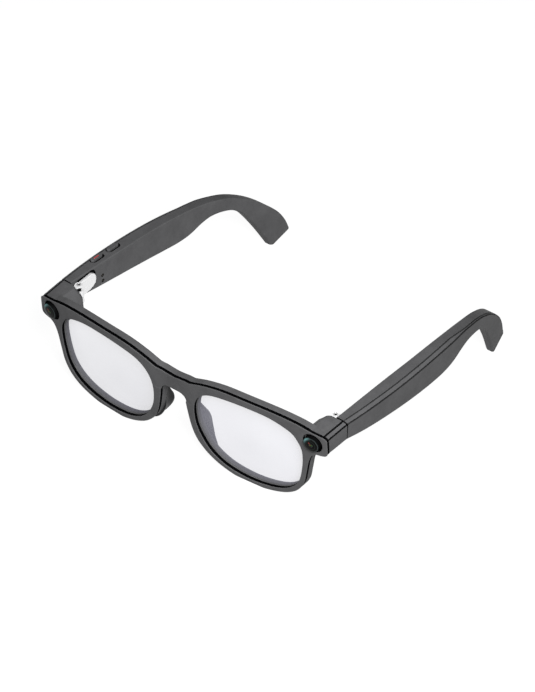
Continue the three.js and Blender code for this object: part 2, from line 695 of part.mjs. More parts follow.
function crossCylinder({ radius, x, length }, z, sides) {
  const geometry = new THREE.CylinderGeometry(radius, radius, length, sides).rotateZ(Math.PI / 2);
  return geometry.translate(x, CONTACT_Y, z);
}

function contactPins() {
  const pins = CONTACT_HEIGHTS.map((z) => crossCylinder(CONTACT_PIN, z, 12));
  const { inner, outer, halfLength, margin } = CONTACT_CARRIER;
  const low = [inner, CONTACT_Y - halfLength, Math.min(...CONTACT_HEIGHTS) - margin];
  const carrier = block(low, [outer, CONTACT_Y + halfLength, Math.max(...CONTACT_HEIGHTS) + margin]);
  const feet = CONTACT_HEIGHTS.map((z) => {
    const half = CONTACT_FOOT.half;
    const corner = [CONTACT_FOOT.inner, CONTACT_Y - half, z - half];
    return block(corner, [CONTACT_FOOT.outer, CONTACT_Y + half, z + half]);
  });
  return join(carrier, ...pins, ...feet);
}

// The recess for the hinge's temple leaf, and the room that both halves of the hinge need.
function hingeRecess() {
  const back = LEAF_X + LEAF_THICKNESS + GAP;
  const [low, high] = knuckle(1);
  const [armFront, armRear] = TEMPLE_ARM_Y;
  return [
    prismX(leafOutline(GAP), LEAF_X - CLEAR, back, 5),
    block([HINGE_X - CLEAR, armFront - 2 * GAP, low - GAP], [back, armRear + 2 * GAP, high + GAP]),
    post(HINGE_X, HINGE_Y, knuckle(2)[0] - GAP, CLEAR, KNUCKLE_RADIUS + GAP, 24),
  ];
}

function buttonRecesses(side) {
  return side < 0 ? Object.values(BUTTON_CENTRES).map(buttonRecess) : [];
}

function templeShell(side) {
  const inner = common(templeBlade(), lean(planBand(innerLine(-BAND), outerLine(COVER_THICKNESS + GAP))));
  const contacts = side < 0 ? CONTACT_HEIGHTS.map((z) => crossCylinder(CONTACT_HOLE, z, 14)) : [];
  return cut(inner, templePocket(), ...hingeRecess(), ...buttonRecesses(side), ...contacts, belowGround());
}

function templeCover(side) {
  const outer = common(templeBlade(), lean(planBand(outerLine(COVER_THICKNESS), outerLine(-CLEAR))));
  return cut(outer, ...buttonRecesses(side), belowGround());
}

// A slab inside the temple pocket, between two depths from the inner wall and two heights.
function pocketPiece([y0, y1], [fromWall, toWall], [fromFloor, toFloor]) {
  const floor0 = heightOn(TEMPLE_BOTTOM, y0) + SHELL_WALL;
  const floor1 = heightOn(TEMPLE_BOTTOM, y1) + SHELL_WALL;
  const outline = new THREE.Shape(vectors([
    [y0, floor0 + fromFloor], [y1, floor1 + fromFloor], [y1, floor1 + toFloor], [y0, floor0 + toFloor],
  ]));
  const wall = SHELL_WALL + GAP;
  return common(prismX(outline, 0, FAR), planBand(innerLine(wall + fromWall), innerLine(wall + toWall)));
}

// Each of these is (y from and to), (depth from and to), (height from and to) inside the temple pocket.
const POCKET_PIECES = {
  battery: [[62, 85], [0, 1.8], [1.6, 8.6]],
  speaker: [[46, 60], [0.9, 2.4], [0.4, 5.0]],
  board: [[41, 61.5], [0, 0.6], [0.4, 7.6]],
  microphone: [[34.0, 35.8], [0.2, 1.2], [1.6, 3.6]],
};

// ---- assembly -----------------------------------------------------------------------------------

const glasses = new THREE.Group();
glasses.rotation.x = TILT;
glasses.position.set(0, -CENTRE_Y, LIFT);

function place(parent, name, geometry, finish) {
  const mesh = new THREE.Mesh(geometry, finish);
  mesh.name = name;
  parent.add(mesh);
}

const front = new THREE.Group();
glasses.add(front);
place(front, 'front_plate', frontPlate(), finishes.frame());
place(front, 'front_gasket', frontGasket(), finishes.seal());
place(front, 'back_frame', backFrame(), finishes.frame());
place(front, 'brow_flex_circuit', browFlex(), finishes.flex());

for (const [label, side] of [['left', 1], ['right', -1]]) {
  const onSide = (geometry) => (side > 0 ? geometry : mirrored(geometry));
  place(front, `lens_${label}`, onSide(lens()), finishes.lens());
  place(front, `nose_pad_${label}`, onSide(nosePad()), finishes.pad());
  place(front, `camera_bezel_${label}`, cameraBezel(side), finishes.cameraBlack());
  place(front, `camera_cover_${label}`, cameraCover(side), finishes.cameraGlass());
  place(front, `camera_module_${label}`, cameraModule(side), finishes.cameraBlack());
  place(front, `camera_board_${label}`, cameraBoard(side), finishes.board());
  place(front, `hinge_front_leaf_${label}`, onSide(frontLeaf()), finishes.steel());
  place(front, `hinge_screw_${label}`, onSide(hingeScrew()), finishes.screw());

  const temple = new THREE.Group();
  glasses.add(temple);
  place(temple, `temple_shell_${label}`, onSide(templeShell(side)), finishes.frame());
  place(temple, `temple_cover_${label}`, onSide(templeCover(side)), finishes.frame());
  place(temple, `hinge_temple_leaf_${label}`, onSide(templeLeaf()), finishes.steel());
  place(temple, `battery_${label}`, onSide(pocketPiece(...POCKET_PIECES.battery)), finishes.battery());
  place(temple, `speaker_${label}`, onSide(pocketPiece(...POCKET_PIECES.speaker)), finishes.speaker());
  const board = onSide(pocketPiece(...POCKET_PIECES.board));
  place(temple, side > 0 ? 'audio_board' : 'main_board', board, finishes.board());
  place(temple, `microphone_${label}`, onSide(pocketPiece(...POCKET_PIECES.microphone)), finishes.contact());
}

const capture = BUTTON_CENTRES.capture;
const power = BUTTON_CENTRES.power;
const captureCap = cut(buttonCap(capture), captureMark(MARK_PLAY));
place(glasses, 'button_capture', mirrored(captureCap), finishes.button());
place(glasses, 'button_capture_mark', mirrored(captureMark(0)), finishes.mark());
place(glasses, 'button_power', mirrored(buttonCap(power)), finishes.button());
place(glasses, 'switch_capture', mirrored(tactSwitch(capture)), finishes.cameraBlack());
place(glasses, 'switch_power', mirrored(tactSwitch(power)), finishes.cameraBlack());
place(glasses, 'charging_contacts', mirrored(contactPins()), finishes.contact());

export default glasses;
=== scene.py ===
"""The finished look of the camera smart glasses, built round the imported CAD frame.

Shapes are worked out in the design frame of the part, in millimetres: X to the wearer's left, Y backwards
from the front, Z up, with the top corners of the front at z = 0. They are then tilted and lifted to stand on
the ground, in metres, as the CAD does.
"""

import math

import bmesh
import bpy
import numpy as np
from mathutils import Matrix, Vector
from mathutils.geometry import tessellate_polygon


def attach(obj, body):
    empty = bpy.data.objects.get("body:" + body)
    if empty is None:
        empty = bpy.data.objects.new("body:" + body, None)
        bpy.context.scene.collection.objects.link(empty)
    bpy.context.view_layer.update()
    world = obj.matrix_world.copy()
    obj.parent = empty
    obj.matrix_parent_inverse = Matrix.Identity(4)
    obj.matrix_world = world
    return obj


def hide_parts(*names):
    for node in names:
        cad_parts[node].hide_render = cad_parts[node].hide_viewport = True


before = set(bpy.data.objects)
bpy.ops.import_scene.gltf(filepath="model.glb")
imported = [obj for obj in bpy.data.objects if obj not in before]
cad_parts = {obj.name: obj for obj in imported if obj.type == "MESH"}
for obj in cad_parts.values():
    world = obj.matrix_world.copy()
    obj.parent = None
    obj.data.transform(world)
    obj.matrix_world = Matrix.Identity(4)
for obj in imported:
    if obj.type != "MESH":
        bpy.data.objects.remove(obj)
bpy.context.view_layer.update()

# ---- driving dimensions, in millimetres ----

MM = 0.001
MERGE = 0.004 * MM
FINE_MERGE = 0.002 * MM
FINEST_MERGE = 0.001 * MM
TILT = math.radians(4.5)
LIFT = 39.85
CENTRE_Y = 73.39

FACE_RADIUS = 504.0
LIP_BACK = 0.5
LIP_EDGE = 0.18
SEAL_FRONT = 0.25
SEAL_BACK = 2.1
SEAL_INSET = 0.2
RIM_FRONT = 1.9
RIM_BACK = 4.8
LENS_FRONT = 2.6
LENS_BACK = 4.1
LENS_INTO_RIM = 0.35
EDGE = 0.28
SLICE = 3.0
TUCK_START_X = 67.5
TUCK_LENGTH = 3.5
TUCK_LOWEST_Z = -10.5
TUCK_INWARDS = 0.009
TUCK_TO_MIDDLE = 0.10

END_TOP_Z = 0.3
END_MIDDLE_Z = -4.6
END_DEPTHS = [1.7, 2.6, 3.6]
END_STATIONS = [10.2, 12.0, 13.5, 14.6, 15.2, 15.6, 16.0, 16.4, 16.8, 17.2, 17.6, 17.9, 18.1, 18.3]
END_KINDS = [0, 0, 0, 0, 0, 1, 1, 0, 1, 1, 0, 0, 0, 0]
END_CAP_INSET = 0.22
END_INNER_X = 62.6
END_FACET_X = 66.5
END_BOTTOM_Z = -9.3
END_REAR_Y = 18.3
TEMPLE_FRONT_Y = 18.6
SPLIT_BOW = 0.8
END_FRONT_X = 75.5
END_REAR_X = 75.8
END_CHAMFER_Y = 8.0
REAR_BULGE = 1.1
BULGE_END_X = 67.6
BULGE_FADE = 0.8
BOW_START_Y = 15
BOW_LENGTH = 3.3
BOW_REACH = 1.2
CORNER_DEPTHS = [15.0, 15.3, 15.8, 16.4, 17.2, 17.8, 18.3]
CORNER_TOP_X = [60, 64.2, 66.0, 66.4, 66.8, 67.6, 68.9]
CORNER_LOW_X = [60, 60.5, 61.2, 62.2, 63.6, 64.8, 66.2]
CHAMFER_WIDTH = 1.9
CHAMFER_DROP = 1.1
GROOVE_WIDTH = 0.42
GROOVE_DEPTH = 0.36
END_GROOVE_WIDTH = 0.42
GROOVE_START_Y = 6.0
GROOVE_INNER_X = 64
GROOVE_MARGIN = 0.02
FACES_BACK = 0.35
BRIDGE_HALF = 9.0
BRIDGE_FLAT = 6.0
BRIDGE_SET_BACK = 0.6
BRIDGE_LOW_Z = -12.0
SEAM_GAP = 0.24
SEAM_EDGE = 0.14

CAMERA_X = 68.9
CAMERA_Z = -4.3
RECESS_RADIUS = 4.5
POCKET_FRONT = -3
POCKET_BACK = 4.5
BEZEL_FRONT = 0.45
BEZEL_BACK = 4.2
BEZEL_BORE = 3.0
BEZEL_WALL = 0.25
BEZEL_SHELF = 3.0
BEZEL_SHELF_EDGE = 3.2
DOME_RADIUS = 3.45
DOME_PROUD = 1.5
DOME_HEIGHT = 0.4
DOME_ARC = 1.15
BARREL_RADIUS = 3.55
BARREL_BACK = 3.1
# Painted reflection on the camera dome: a soft green patch towards its upper edge, centred here, in
# millimetres.
PAINTED_REFLECTION_X = -2.1
PAINTED_REFLECTION_Z = 1.8
PAINTED_REFLECTION_RADIUS = 2.4
# Painted glints near the middle of the camera dome: place, size and colour of each.
GLINTS = ((-0.7, 1.0, 0.5, (0.07, 0.012, 0.01)), (-0.2, 0.25, 0.45, (0.055, 0.035, 0.008)),
          (0.64, 0.15, 0.45, (0.012, 0.04, 0.01)))
DIM = [0.001] * 3
# The dome's colour by radius: dark lens rings, with a painted red and green glint at the middle and a painted
# highlight ring near the rim.
DOME_RINGS_AND_HIGHLIGHTS = ((0.0, (0.020, 0.003, 0.003)), (0.08, (0.003, 0.010, 0.004)), (0.16, DIM),
              (0.26, (0.010, 0.009, 0.010)), (0.30, DIM), (0.52, DIM), (0.58, (0.005, 0.007, 0.006)),
              (0.64, DIM), (0.86, (0.002, 0.002, 0.002)), (0.93, (0.016, 0.020, 0.020)),
              (0.98, (0.002, 0.003, 0.003)))
BLACK = [0.0] * 3
WHITE = [1.0] * 3

HINGE_X = 68.0
HINGE_Y = 21.0
HINGE_TOP_Z = -1.2
KNUCKLE_RADIUS = 1.75
POST_RADIUS = KNUCKLE_RADIUS - 0.05
RING_RADIUS = 1.05
SOCKET_RADIUS = 0.5
SOCKET_DEPTH = 0.6
PIN_RADIUS = 0.8
PIN_BOTTOM_Z = -9.9
LOW_KNUCKLE_Z = (-10.5, -7.85)
PLATE_Y = (15.2, 18.9)
PLATE_BOTTOM_Z = -8.5
FOOT_Y = (18.0, 20.6)
FOOT_Z = (-10.2, -8.1)
SLOT_FRONT_Y = 15.0
SLOT_BOTTOM_Z = -8.7
SLOT_GAP = 0.2
LEAF_X = 69.2
LUG_BOTTOM_Z = -2.05
BARREL_TOP_Z = -4.4
BARREL_BOTTOM_Z = -7.7
LEAF_THICKNESS = 1.3
LEAF_FRONT_Y = 22.4
LEAF_BACK_Y = 33.0
LEAF_BOTTOM_Z = -9.9
LEAF_TOP_Z = -2.7
LEAF_CUT = (0.3, 0.55, 1.45)
CUT_INNER_X = 66.0

BOW_CENTRE_Y = 50.0
BOW_OUTER_X = 77.15
BOW = 0.00145
LEAN = 0.1
TIP_ROUNDING = 1.2
TIP_ACROSS = 0.25
TIP_ALONG = 0.10
FIRST_RING = (0.92, 0.965)
FIRST_STATIONS = [18.6, 18.85, 19.3, 20.2]
LEAD_LENGTH = 5
LEAST_WIDTH = 0.3
CHAMFER_END_Y = 108
CHAMFER_FADE = 18
CHAMFER_LEAST = 0.40
SEAM_START = SEAM_EDGE * 1.6
SHELL_TOP_RADIUS = 0.5

BUTTON_X = 73.95
BUTTON_WIDTH = 1.9
BUTTON_LENGTH = 6.6
BUTTON_PROUD = 0.45
BUTTON_GAP = 0.35
BUTTON_DEPTH = 0.85
RECESS_DEPTH = 1.3
RECESS_WIDER = 0.85
RECESS_LONGER = 0.6
RECESS_SHIFT = [0.42, -0.15]
CAPTURE_Y = 38.9
POWER_Y = 49.0
CONTACT_Y = 37.4
CONTACT_HEIGHTS = (-8.2, -11.0)
CONTACT_RADIUS = 0.8
CONTACT_OUTER_X = 70.6

# ---- curves ----


def spline(points, count, closed=False):
    """Count points and an end one on a smooth curve through the given ones."""
    points = np.array(points, float)
    size = len(points)
    spans = size if closed else size - 1
    out = []
    for step in range(count if closed else count + 1):
        where = step * spans / count
        i = min(int(where), spans - 1)
        t = where - i
        near = [k % size if closed else min(max(k, 0), size - 1) for k in range(i - 1, i + 3)]
        p0, p1, p2, p3 = points[near]
        v0, v1 = (p2 - p0) / 2, (p3 - p1) / 2
        out.append((2 * p1 - 2 * p2 + v0 + v1) * t**3 + (3 * p2 - 3 * p1 - 2 * v0 - v1) * t**2 + v0 * t + p1)
    return np.array(out)


def even(points, step, closed=False):
    """The same line with points a steady distance apart."""
    points = np.array(points, float)
    line = np.vstack([points, points[:1]]) if closed else points
    lengths = np.r_[0, np.cumsum(np.linalg.norm(np.diff(line, axis=0), axis=1))]
    count = max(4, int(round(lengths[-1] / step)))
    at = np.linspace(0, lengths[-1], count + 1)
    out = np.stack([np.interp(at, lengths, line[:, k]) for k in range(line.shape[1])], 1)
    return out[:-1] if closed else out


def quarter(count):
    """Points of a quarter turn, as how far each falls short of a unit circle's side and of its top."""
    return [(1 - math.cos(t), 1 - math.sin(t)) for t in np.linspace(0, math.pi / 2, count)]


def area(loop):
    x, z = loop[:, 0], loop[:, 1]
    return float(np.sum(x * np.roll(z, -1) - np.roll(x, -1) * z)) / 2


def grow(loop, distance):
    """A closed outline moved outwards, or inwards by a negative distance."""
    along = np.roll(loop, -1, 0) - np.roll(loop, 1, 0)
    along /= np.linalg.norm(along, axis=1)[:, None]
    sign = 1 if area(loop) > 0 else -1
    return loop + sign * distance * np.stack([along[:, 1], -along[:, 0]], 1)


def mirrored(loop):
    return (loop * [-1, 1])[::-1]


def front_outline():
    top = spline([[0, -2.15], [4.7, -1.75], [8.7, -1.0], [16, 1.3], [25, 2.95], [35, 3.4], [50, 3.45],
                  [61, 2.6], [68.5, 1.0], [73.6, 0.3]], 90)
    corner = spline([[74.3, 0.15], [75.2, -0.6], [75.5, -1.6], [75.5, -7.4], [74.7, -9.0], [72.6, -9.65]], 40)
    side = spline([[70.6, -9.8], [68.4, -11.3], [66.6, -15.2], [65.2, -22.0], [63.8, -28.2], [61.0, -33.0],
                   [56.9, -36.3], [51, -38.7], [42.5, -40.4], [33.5, -40.6], [24.5, -38.6], [17.5, -35.3],
                   [12.6, -31], [10.2, -27.3], [8.55, -22.5], [7.2, -15.5], [6.4, -11.2], [4.1, -9.1],
                   [0, -8.85]], 200)
    half = np.vstack([top, corner, side])
    whole = np.vstack([half, mirrored(half)[1:-1]])
    return even(whole[::-1], 0.55, closed=True)


def lens_outline():
    points = [[58.5, -2.9], [61.8, -6.3], [63.8, -11.5], [63.4, -20.0], [61.2, -28.6], [56.4, -34.1],
              [49.0, -37.3], [38.0, -38.65], [26.5, -37.2], [18.5, -33.0], [13.6, -26.8], [11.1, -20.0],
              [11.0, -12.0], [13.6, -6.1], [19.0, -2.2], [28.0, -0.4], [40.0, 0.35], [50.0, -0.2]]
    return even(spline(points, 240, closed=True), 0.6, closed=True)


def circle(x, z, radius, count=64):
    turn = np.linspace(0, 2 * math.pi, count, endpoint=False)
    return np.stack([x + radius * np.cos(turn), z + radius * np.sin(turn)], 1)


FRONT = front_outline()
OPENING = lens_outline()
OPENINGS = [OPENING, mirrored(OPENING)]
WINDOWS = [circle(CAMERA_X, CAMERA_Z, RECESS_RADIUS), circle(-CAMERA_X, CAMERA_Z, RECESS_RADIUS)]

# ---- from the design frame to the row frame ----


def to_row(points):
    points = np.array(points, float).reshape(-1, 3)
    x, y, z = points.T
    down_y = y * math.cos(TILT) - z * math.sin(TILT) - CENTRE_Y
    up_z = y * math.sin(TILT) + z * math.cos(TILT) + LIFT
    return np.stack([x, down_y, np.maximum(up_z, 0.0)], 1) * MM


def to_design(point):
    """A mesh point of the row frame, back in the design frame."""
    return Matrix.Rotation(-TILT, 4, "X") @ (point / MM - Vector((0, -CENTRE_Y, LIFT)))


def turned(vector):
    x, y, z = vector
    return Vector((x, y * math.cos(TILT) - z * math.sin(TILT), y * math.sin(TILT) + z * math.cos(TILT)))


def face_y(x, depth=0.0):
    return FACE_RADIUS - np.sqrt((FACE_RADIUS - depth) ** 2 - np.square(x))


def bridge_step(x, z):
    """How far the bridge is set back from the rims beside it."""
    share = (BRIDGE_HALF - abs(x)) / (BRIDGE_HALF - BRIDGE_FLAT)
    return BRIDGE_SET_BACK * min(max(share, 0.0), 1.0) if z > BRIDGE_LOW_Z else 0.0


# ---- meshes ----


def linked(name, data):
    obj = bpy.data.objects.new(name, data)
    bpy.context.scene.collection.objects.link(obj)
    return obj


def mesh_of(name, verts, faces, kinds=None):
    """A mesh object in the row frame from points in the design frame."""
    mesh = bpy.data.meshes.new(name)
    mesh.from_pydata(to_row(verts).tolist(), [], [list(f) for f in faces])
    if kinds is not None:
        mesh.polygons.foreach_set("material_index", kinds)
    obj = linked(name, mesh)
    tidy(obj)
    return obj


def own_mesh(name, verts, faces, matrix, merge):
    """A mesh object from points in millimetres about its own origin, which the matrix puts in place."""
    mesh = bpy.data.meshes.new(name)
    mesh.from_pydata((np.array(verts, float) * MM).tolist(), [], faces)
    obj = linked(name, mesh)
    obj.matrix_world = matrix
    tidy(obj, merge)
    return obj


def tidy(obj, merge=MERGE):
    """Joins points that coincide, drops slivers and turns the normals outwards."""
    bm = bmesh.new()
    bm.from_mesh(obj.data)
    bmesh.ops.remove_doubles(bm, verts=bm.verts, dist=merge)
    bmesh.ops.dissolve_degenerate(bm, edges=bm.edges, dist=merge)
    bmesh.ops.recalc_face_normals(bm, faces=bm.faces)
    bm.to_mesh(obj.data)
    bm.free()


def smooth(obj, sharp=50):
    mesh = obj.data
    mesh.shade_smooth()
    mesh.set_sharp_from_angle(angle=math.radians(sharp))
    modifier = obj.modifiers.new("normals", "WEIGHTED_NORMAL")
    modifier.keep_sharp = True
    modifier.weight = 60


def dress(obj, body, slot, materials, *nodes, sharp=50):
    """Materials, smooth shading, the body it rides on, and the CAD nodes that it stands for."""
    obj.data.materials.clear()
    for material in materials:
        obj.data.materials.append(material)
    smooth(obj, sharp)
    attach(obj, body)
    if nodes:
        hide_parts(*nodes)
    return obj


def boolean(obj, tools, operation="DIFFERENCE"):
    """Cuts the tools out of obj, or joins them to it. A tool's material index becomes the new faces'."""
    for tool in tools:
        modifier = obj.modifiers.new("cut", "BOOLEAN")
        modifier.operation = operation
        modifier.solver = "EXACT"
        modifier.object = tool
        modifier.use_hole_tolerant = False
        modifier.material_mode = "TRANSFER"
    graph = bpy.context.evaluated_depsgraph_get()
    mesh = bpy.data.meshes.new_from_object(obj.evaluated_get(graph))
    obj.modifiers.clear()
    obj.data = mesh
    for tool in tools:
        bpy.data.objects.remove(tool)
    tidy(obj)
    return obj


def strip(first, second, size):
    """The quads between two closed rings of the same size, which start at these points."""
    return [(first + i, first + (i + 1) % size, second + (i + 1) % size, second + i) for i in range(size)]


def edge_walls(loops, profile):
    """A slab's edges: points, faces, and where each loop's first and last rings start, with their size."""
    verts, faces, starts = [], [], []
    for number, loop in enumerate(loops):
        sign = -1 if number == 0 else 1
        rings = []
        for depth, inset in profile:
            rings.append(len(verts))
            verts.extend([x, depth, z] for x, z in grow(loop, sign * inset))
        for first, second in zip(rings, rings[1:]):
            faces += strip(first, second, len(loop))
        starts.append((rings[0], rings[-1], len(loop)))
    return verts, faces, starts


def end_caps(verts, starts):
    """Triangles that close a slab's front and its back, with their holes left open."""
    faces = []
    for end in (0, 1):
        rows = [range(start[end], start[end] + start[2]) for start in starts]
        order = [k for row in rows for k in row]
        polygons = [[Vector((verts[k][0], verts[k][2], 0)) for k in row] for row in rows]
        faces.extend(tuple(order[k] for k in triangle) for triangle in tessellate_polygon(polygons))
    return faces


def slab(name, outer, holes, profile):
    """A curved sheet with holes. The profile is (depth, inset of every edge), from the front to the back."""
    verts, walls, starts = edge_walls([outer, *holes], profile)
    bm = bmesh.new()
    made = [bm.verts.new(v) for v in verts]
    for face in walls + end_caps(verts, starts):
        try:
            bm.faces.new([made[k] for k in face])
        except ValueError:
            pass  # a cap can name the same face twice
    bmesh.ops.remove_doubles(bm, verts=bm.verts, dist=0.002)
    reach = int(max(abs(np.array(verts)[:, 0])) // SLICE)
    for step in range(-reach, reach + 1):
        bmesh.ops.bisect_plane(bm, geom=bm.verts[:] + bm.edges[:] + bm.faces[:], dist=0.01,
                               plane_co=(step * SLICE, 0, 0), plane_no=(1, 0, 0))
    for v in bm.verts:
        v.co.y = face_y(v.co.x, v.co.y) + bridge_step(v.co.x, v.co.z)
        v.co = Vector(to_row([v.co])[0])
    bmesh.ops.recalc_face_normals(bm, faces=bm.faces)
    mesh = bpy.data.meshes.new(name)
    bm.to_mesh(mesh)
    bm.free()
    return linked(name, mesh)


def rounded(front, back, edge, steps=4):
    """A slab's profile with round edges."""
    turn = quarter(steps + 1)
    start = [(front + edge * b, edge * a) for a, b in turn[::-1]]
    return start + [(back - edge * b, edge * a) for a, b in turn]


def skin(rings):
    """Points and faces of a closed skin over rings with the same number of points: strips, then both caps."""
    size = len(rings[0])
    last = (len(rings) - 1) * size
    faces = [face for start in range(0, last, size) for face in strip(start, start + size, size)]
    return np.vstack(rings), [*faces, tuple(range(size)), tuple(range(last, last + size))]


def loft(name, rings, kinds, first_kind=0):
    """A closed skin over rings in the design frame. Kinds gives each ring edge's material index, and
    first_kind, if it is set, that of the first cap and of the strip beside it."""
    verts, faces = skin(rings)
    first = [first_kind] * len(kinds) if first_kind else kinds
    return mesh_of(name, verts, faces, [*first, *kinds * (len(rings) - 2), first_kind, 0])


def turning(name, profile, matrix, count=64):
    """A solid turned about its own Y axis. The profile is radius against depth, axis to axis or closed."""
    rings, verts, faces = [], [], []
    for radius, depth in profile:
        if radius < 1e-6:
            rings.append([len(verts)])
            verts.append((0, depth, 0))
            continue
        rings.append(list(range(len(verts), len(verts) + count)))
        for k in range(count):
            turn = 2 * math.pi * k / count
            verts.append((radius * math.cos(turn), depth, radius * math.sin(turn)))
    for a, b in zip(rings, rings[1:]):
        for k in range(count):
            n = (k + 1) % count
            face = list(dict.fromkeys([a[k % len(a)], a[n % len(a)], b[n % len(b)], b[k % len(b)]]))
            if len(face) >= 3:
                faces.append(face)
    closed = profile[0] == profile[-1]
    return own_mesh(name, verts, faces, matrix, FINE_MERGE if closed else FINEST_MERGE)


def placed(x, y, z, turn_z=0.0, turn_x=0.0):
    """The matrix that puts a piece made about its own origin at a place of the design frame."""
    spin = Matrix.Rotation(TILT, 4, "X") @ Matrix.Rotation(turn_z, 4, "Z") @ Matrix.Rotation(turn_x, 4, "X")
    return Matrix.Translation(Vector(to_row([(x, y, z)])[0])) @ spin


def box_outline(x_from, x_to, y_from, y_to):
    return [[x_from, y_from], [x_to, y_from], [x_to, y_to], [x_from, y_to]]


def prism(name, outline, axis, low, high, matrix=None, edge=0.0):
    """A flat outline pushed along an axis of the design frame, with bevels on both faces if edge is set."""
    outline = np.array(outline, float)
    levels = [(low, 0.0), (high, 0.0)]
    if edge:
        levels = [(low, edge), (low + edge, 0.0), (high - edge, 0.0), (high - edge * 0.3, edge * 0.3),
                  (high, edge)]
    rings = []
    for level, inset in levels:
        ring = grow(outline, -inset) if inset else outline
        rings.append(np.insert(ring, "xyz".index(axis), level, axis=1))
    verts, faces = skin(rings)
    return mesh_of(name, verts, faces) if matrix is None else own_mesh(name, verts, faces, matrix, MERGE)


def flip(obj):
    """Mirrors a mesh in the row frame across x = 0."""
    for v in obj.data.vertices:
        v.co.x = -v.co.x
    obj.data.flip_normals()
    return obj


# ---- materials ----


class Nodes:
    """A material's node tree, built line by line."""

    def __init__(self, name):
        self.material = bpy.data.materials.new(name)
        self.material.use_nodes = True
        self.tree = self.material.node_tree
        self.shader = self.tree.nodes["Principled BSDF"]
        self.place = self.add("ShaderNodeTexCoord").outputs["Object"]

    def add(self, kind, **values):
        node = self.tree.nodes.new(kind)
        for key, value in values.items():
            setattr(node, key, value)
        return node

    def link(self, source, target):
        self.tree.links.new(source, target)

    def noise(self, scale, detail=2.0, roughness=0.5, stretch=None):
        node = self.add("ShaderNodeTexNoise")
        node.inputs["Scale"].default_value = scale
        node.inputs["Detail"].default_value = detail
        node.inputs["Roughness"].default_value = roughness
        source = self.place
        if stretch:
            mapping = self.add("ShaderNodeMapping")
            mapping.inputs["Scale"].default_value = stretch
            self.link(source, mapping.inputs["Vector"])
            source = mapping.outputs["Vector"]
        self.link(source, node.inputs["Vector"])
        return node.outputs["Fac"]

    def stops(self, source, stops):
        node = self.add("ShaderNodeValToRGB")
        while len(node.color_ramp.elements) < len(stops):
            node.color_ramp.elements.new(0.5)
        for element, (where, colour) in zip(node.color_ramp.elements, stops):
            element.position = where
            element.color = (*colour, 1)
        self.link(source, node.inputs["Fac"])
        return node.outputs["Color"]

    def ramp(self, source, low, high, start=0.3, end=0.7):
        return self.stops(source, ((start, low), (end, high)))

    def span(self, source, low, high):
        node = self.add("ShaderNodeMapRange")
        node.inputs["To Min"].default_value = low
        node.inputs["To Max"].default_value = high
        self.link(source, node.inputs["Value"])
        return node.outputs["Result"]

    def bump(self, source, strength, distance):
        node = self.add("ShaderNodeBump")
        node.inputs["Strength"].default_value = strength
        node.inputs["Distance"].default_value = distance
        self.link(source, node.inputs["Height"])
        self.link(node.outputs["Normal"], self.shader.inputs["Normal"])

    def math(self, operation, first, second=0):
        node = self.add("ShaderNodeMath", operation=operation)
        for socket, value in zip(node.inputs, (first, second)):
            if isinstance(value, (int, float)):
                socket.default_value = value
            else:
                self.link(value, socket)
        return node.outputs[0]

    def mix(self, operation, first, second):
        node = self.add("ShaderNodeVectorMath", operation=operation)
        self.link(first, node.inputs[0])
        self.link(second, node.inputs[1])
        return node.outputs[0]

    def reach(self, x, z, size):
        """How far a point is from (x, z), seen along the piece's Y axis, as a share of a size."""
        separate = self.add("ShaderNodeSeparateXYZ")
        self.link(self.place, separate.inputs["Vector"])
        squares = []
        for axis, centre in (("X", x), ("Z", z)):
            off = self.math("SUBTRACT", separate.outputs[axis], centre * MM)
            squares.append(self.math("MULTIPLY", off, off))
        return self.math("DIVIDE", self.math("SQRT", self.math("ADD", *squares)), size * MM)

    def set(self, **values):
        for key, value in values.items():
            self.shader.inputs[key.replace("_", " ")].default_value = value


def plastic(name, colour, roughness, grain=0.10, grain_scale=5200, level=0.5, spread=0.13):
    """Moulded satin plastic: a fine spark-eroded grain, with slow changes in shade and gloss."""
    n = Nodes(name)
    mottle = n.noise(90, 7, 0.82)
    dark = tuple(c * (1 - spread) for c in colour)
    light = tuple(min(1, c * (1 + spread)) for c in colour)
    n.link(n.ramp(mottle, dark, light, 0.36, 0.64), n.shader.inputs["Base Color"])
    n.link(n.span(n.noise(900, 3, 0.6), roughness - 0.05, roughness + 0.06), n.shader.inputs["Roughness"])
    n.bump(n.noise(grain_scale, 3, 0.6), grain, 0.00003)
    n.set(Specular_IOR_Level=level)
    return n.material


def metal(name, colour, roughness, scratch=(40, 1500, 1500), metallic=0.75):
    """Metal or foil with a faint drawn finish."""
    n = Nodes(name)
    lines = n.noise(3.0, 4, 0.6, stretch=scratch)
    n.link(n.ramp(lines, tuple(c * 0.9 for c in colour), colour), n.shader.inputs["Base Color"])
    n.link(n.span(n.noise(400, 3), roughness - 0.06, roughness + 0.08), n.shader.inputs["Roughness"])
    n.bump(lines, 0.05, 0.00002)
    n.set(Metallic=metallic)
    return n.material


def board_material(name, colour):
    """A circuit board: solder mask with darker copper traces and a fine weave."""
    n = Nodes(name)
    traces = n.add("ShaderNodeTexWave", wave_type="BANDS", bands_direction="Z")
    traces.inputs["Scale"].default_value = 420
    traces.inputs["Distortion"].default_value = 6
    n.link(n.place, traces.inputs["Vector"])
    n.link(n.ramp(traces.outputs["Fac"], tuple(c * 0.6 for c in colour), colour, 0.4, 0.6),
           n.shader.inputs["Base Color"])
    n.link(n.span(n.noise(700), 0.35, 0.55), n.shader.inputs["Roughness"])
    n.bump(traces.outputs["Fac"], 0.15, 0.00003)
    return n.material


def lens_material():
    """Clear lens with a faint lavender coating."""
    n = Nodes("lens_clear")
    n.link(n.ramp(n.noise(22, 2), (0.15, 0.15, 0.19), (0.25, 0.25, 0.29)), n.shader.inputs["Base Color"])
    n.link(n.span(n.noise(30, 2), 0.03, 0.06), n.shader.inputs["Roughness"])
    n.set(Alpha=0.2, IOR=1.5)
    return n.material


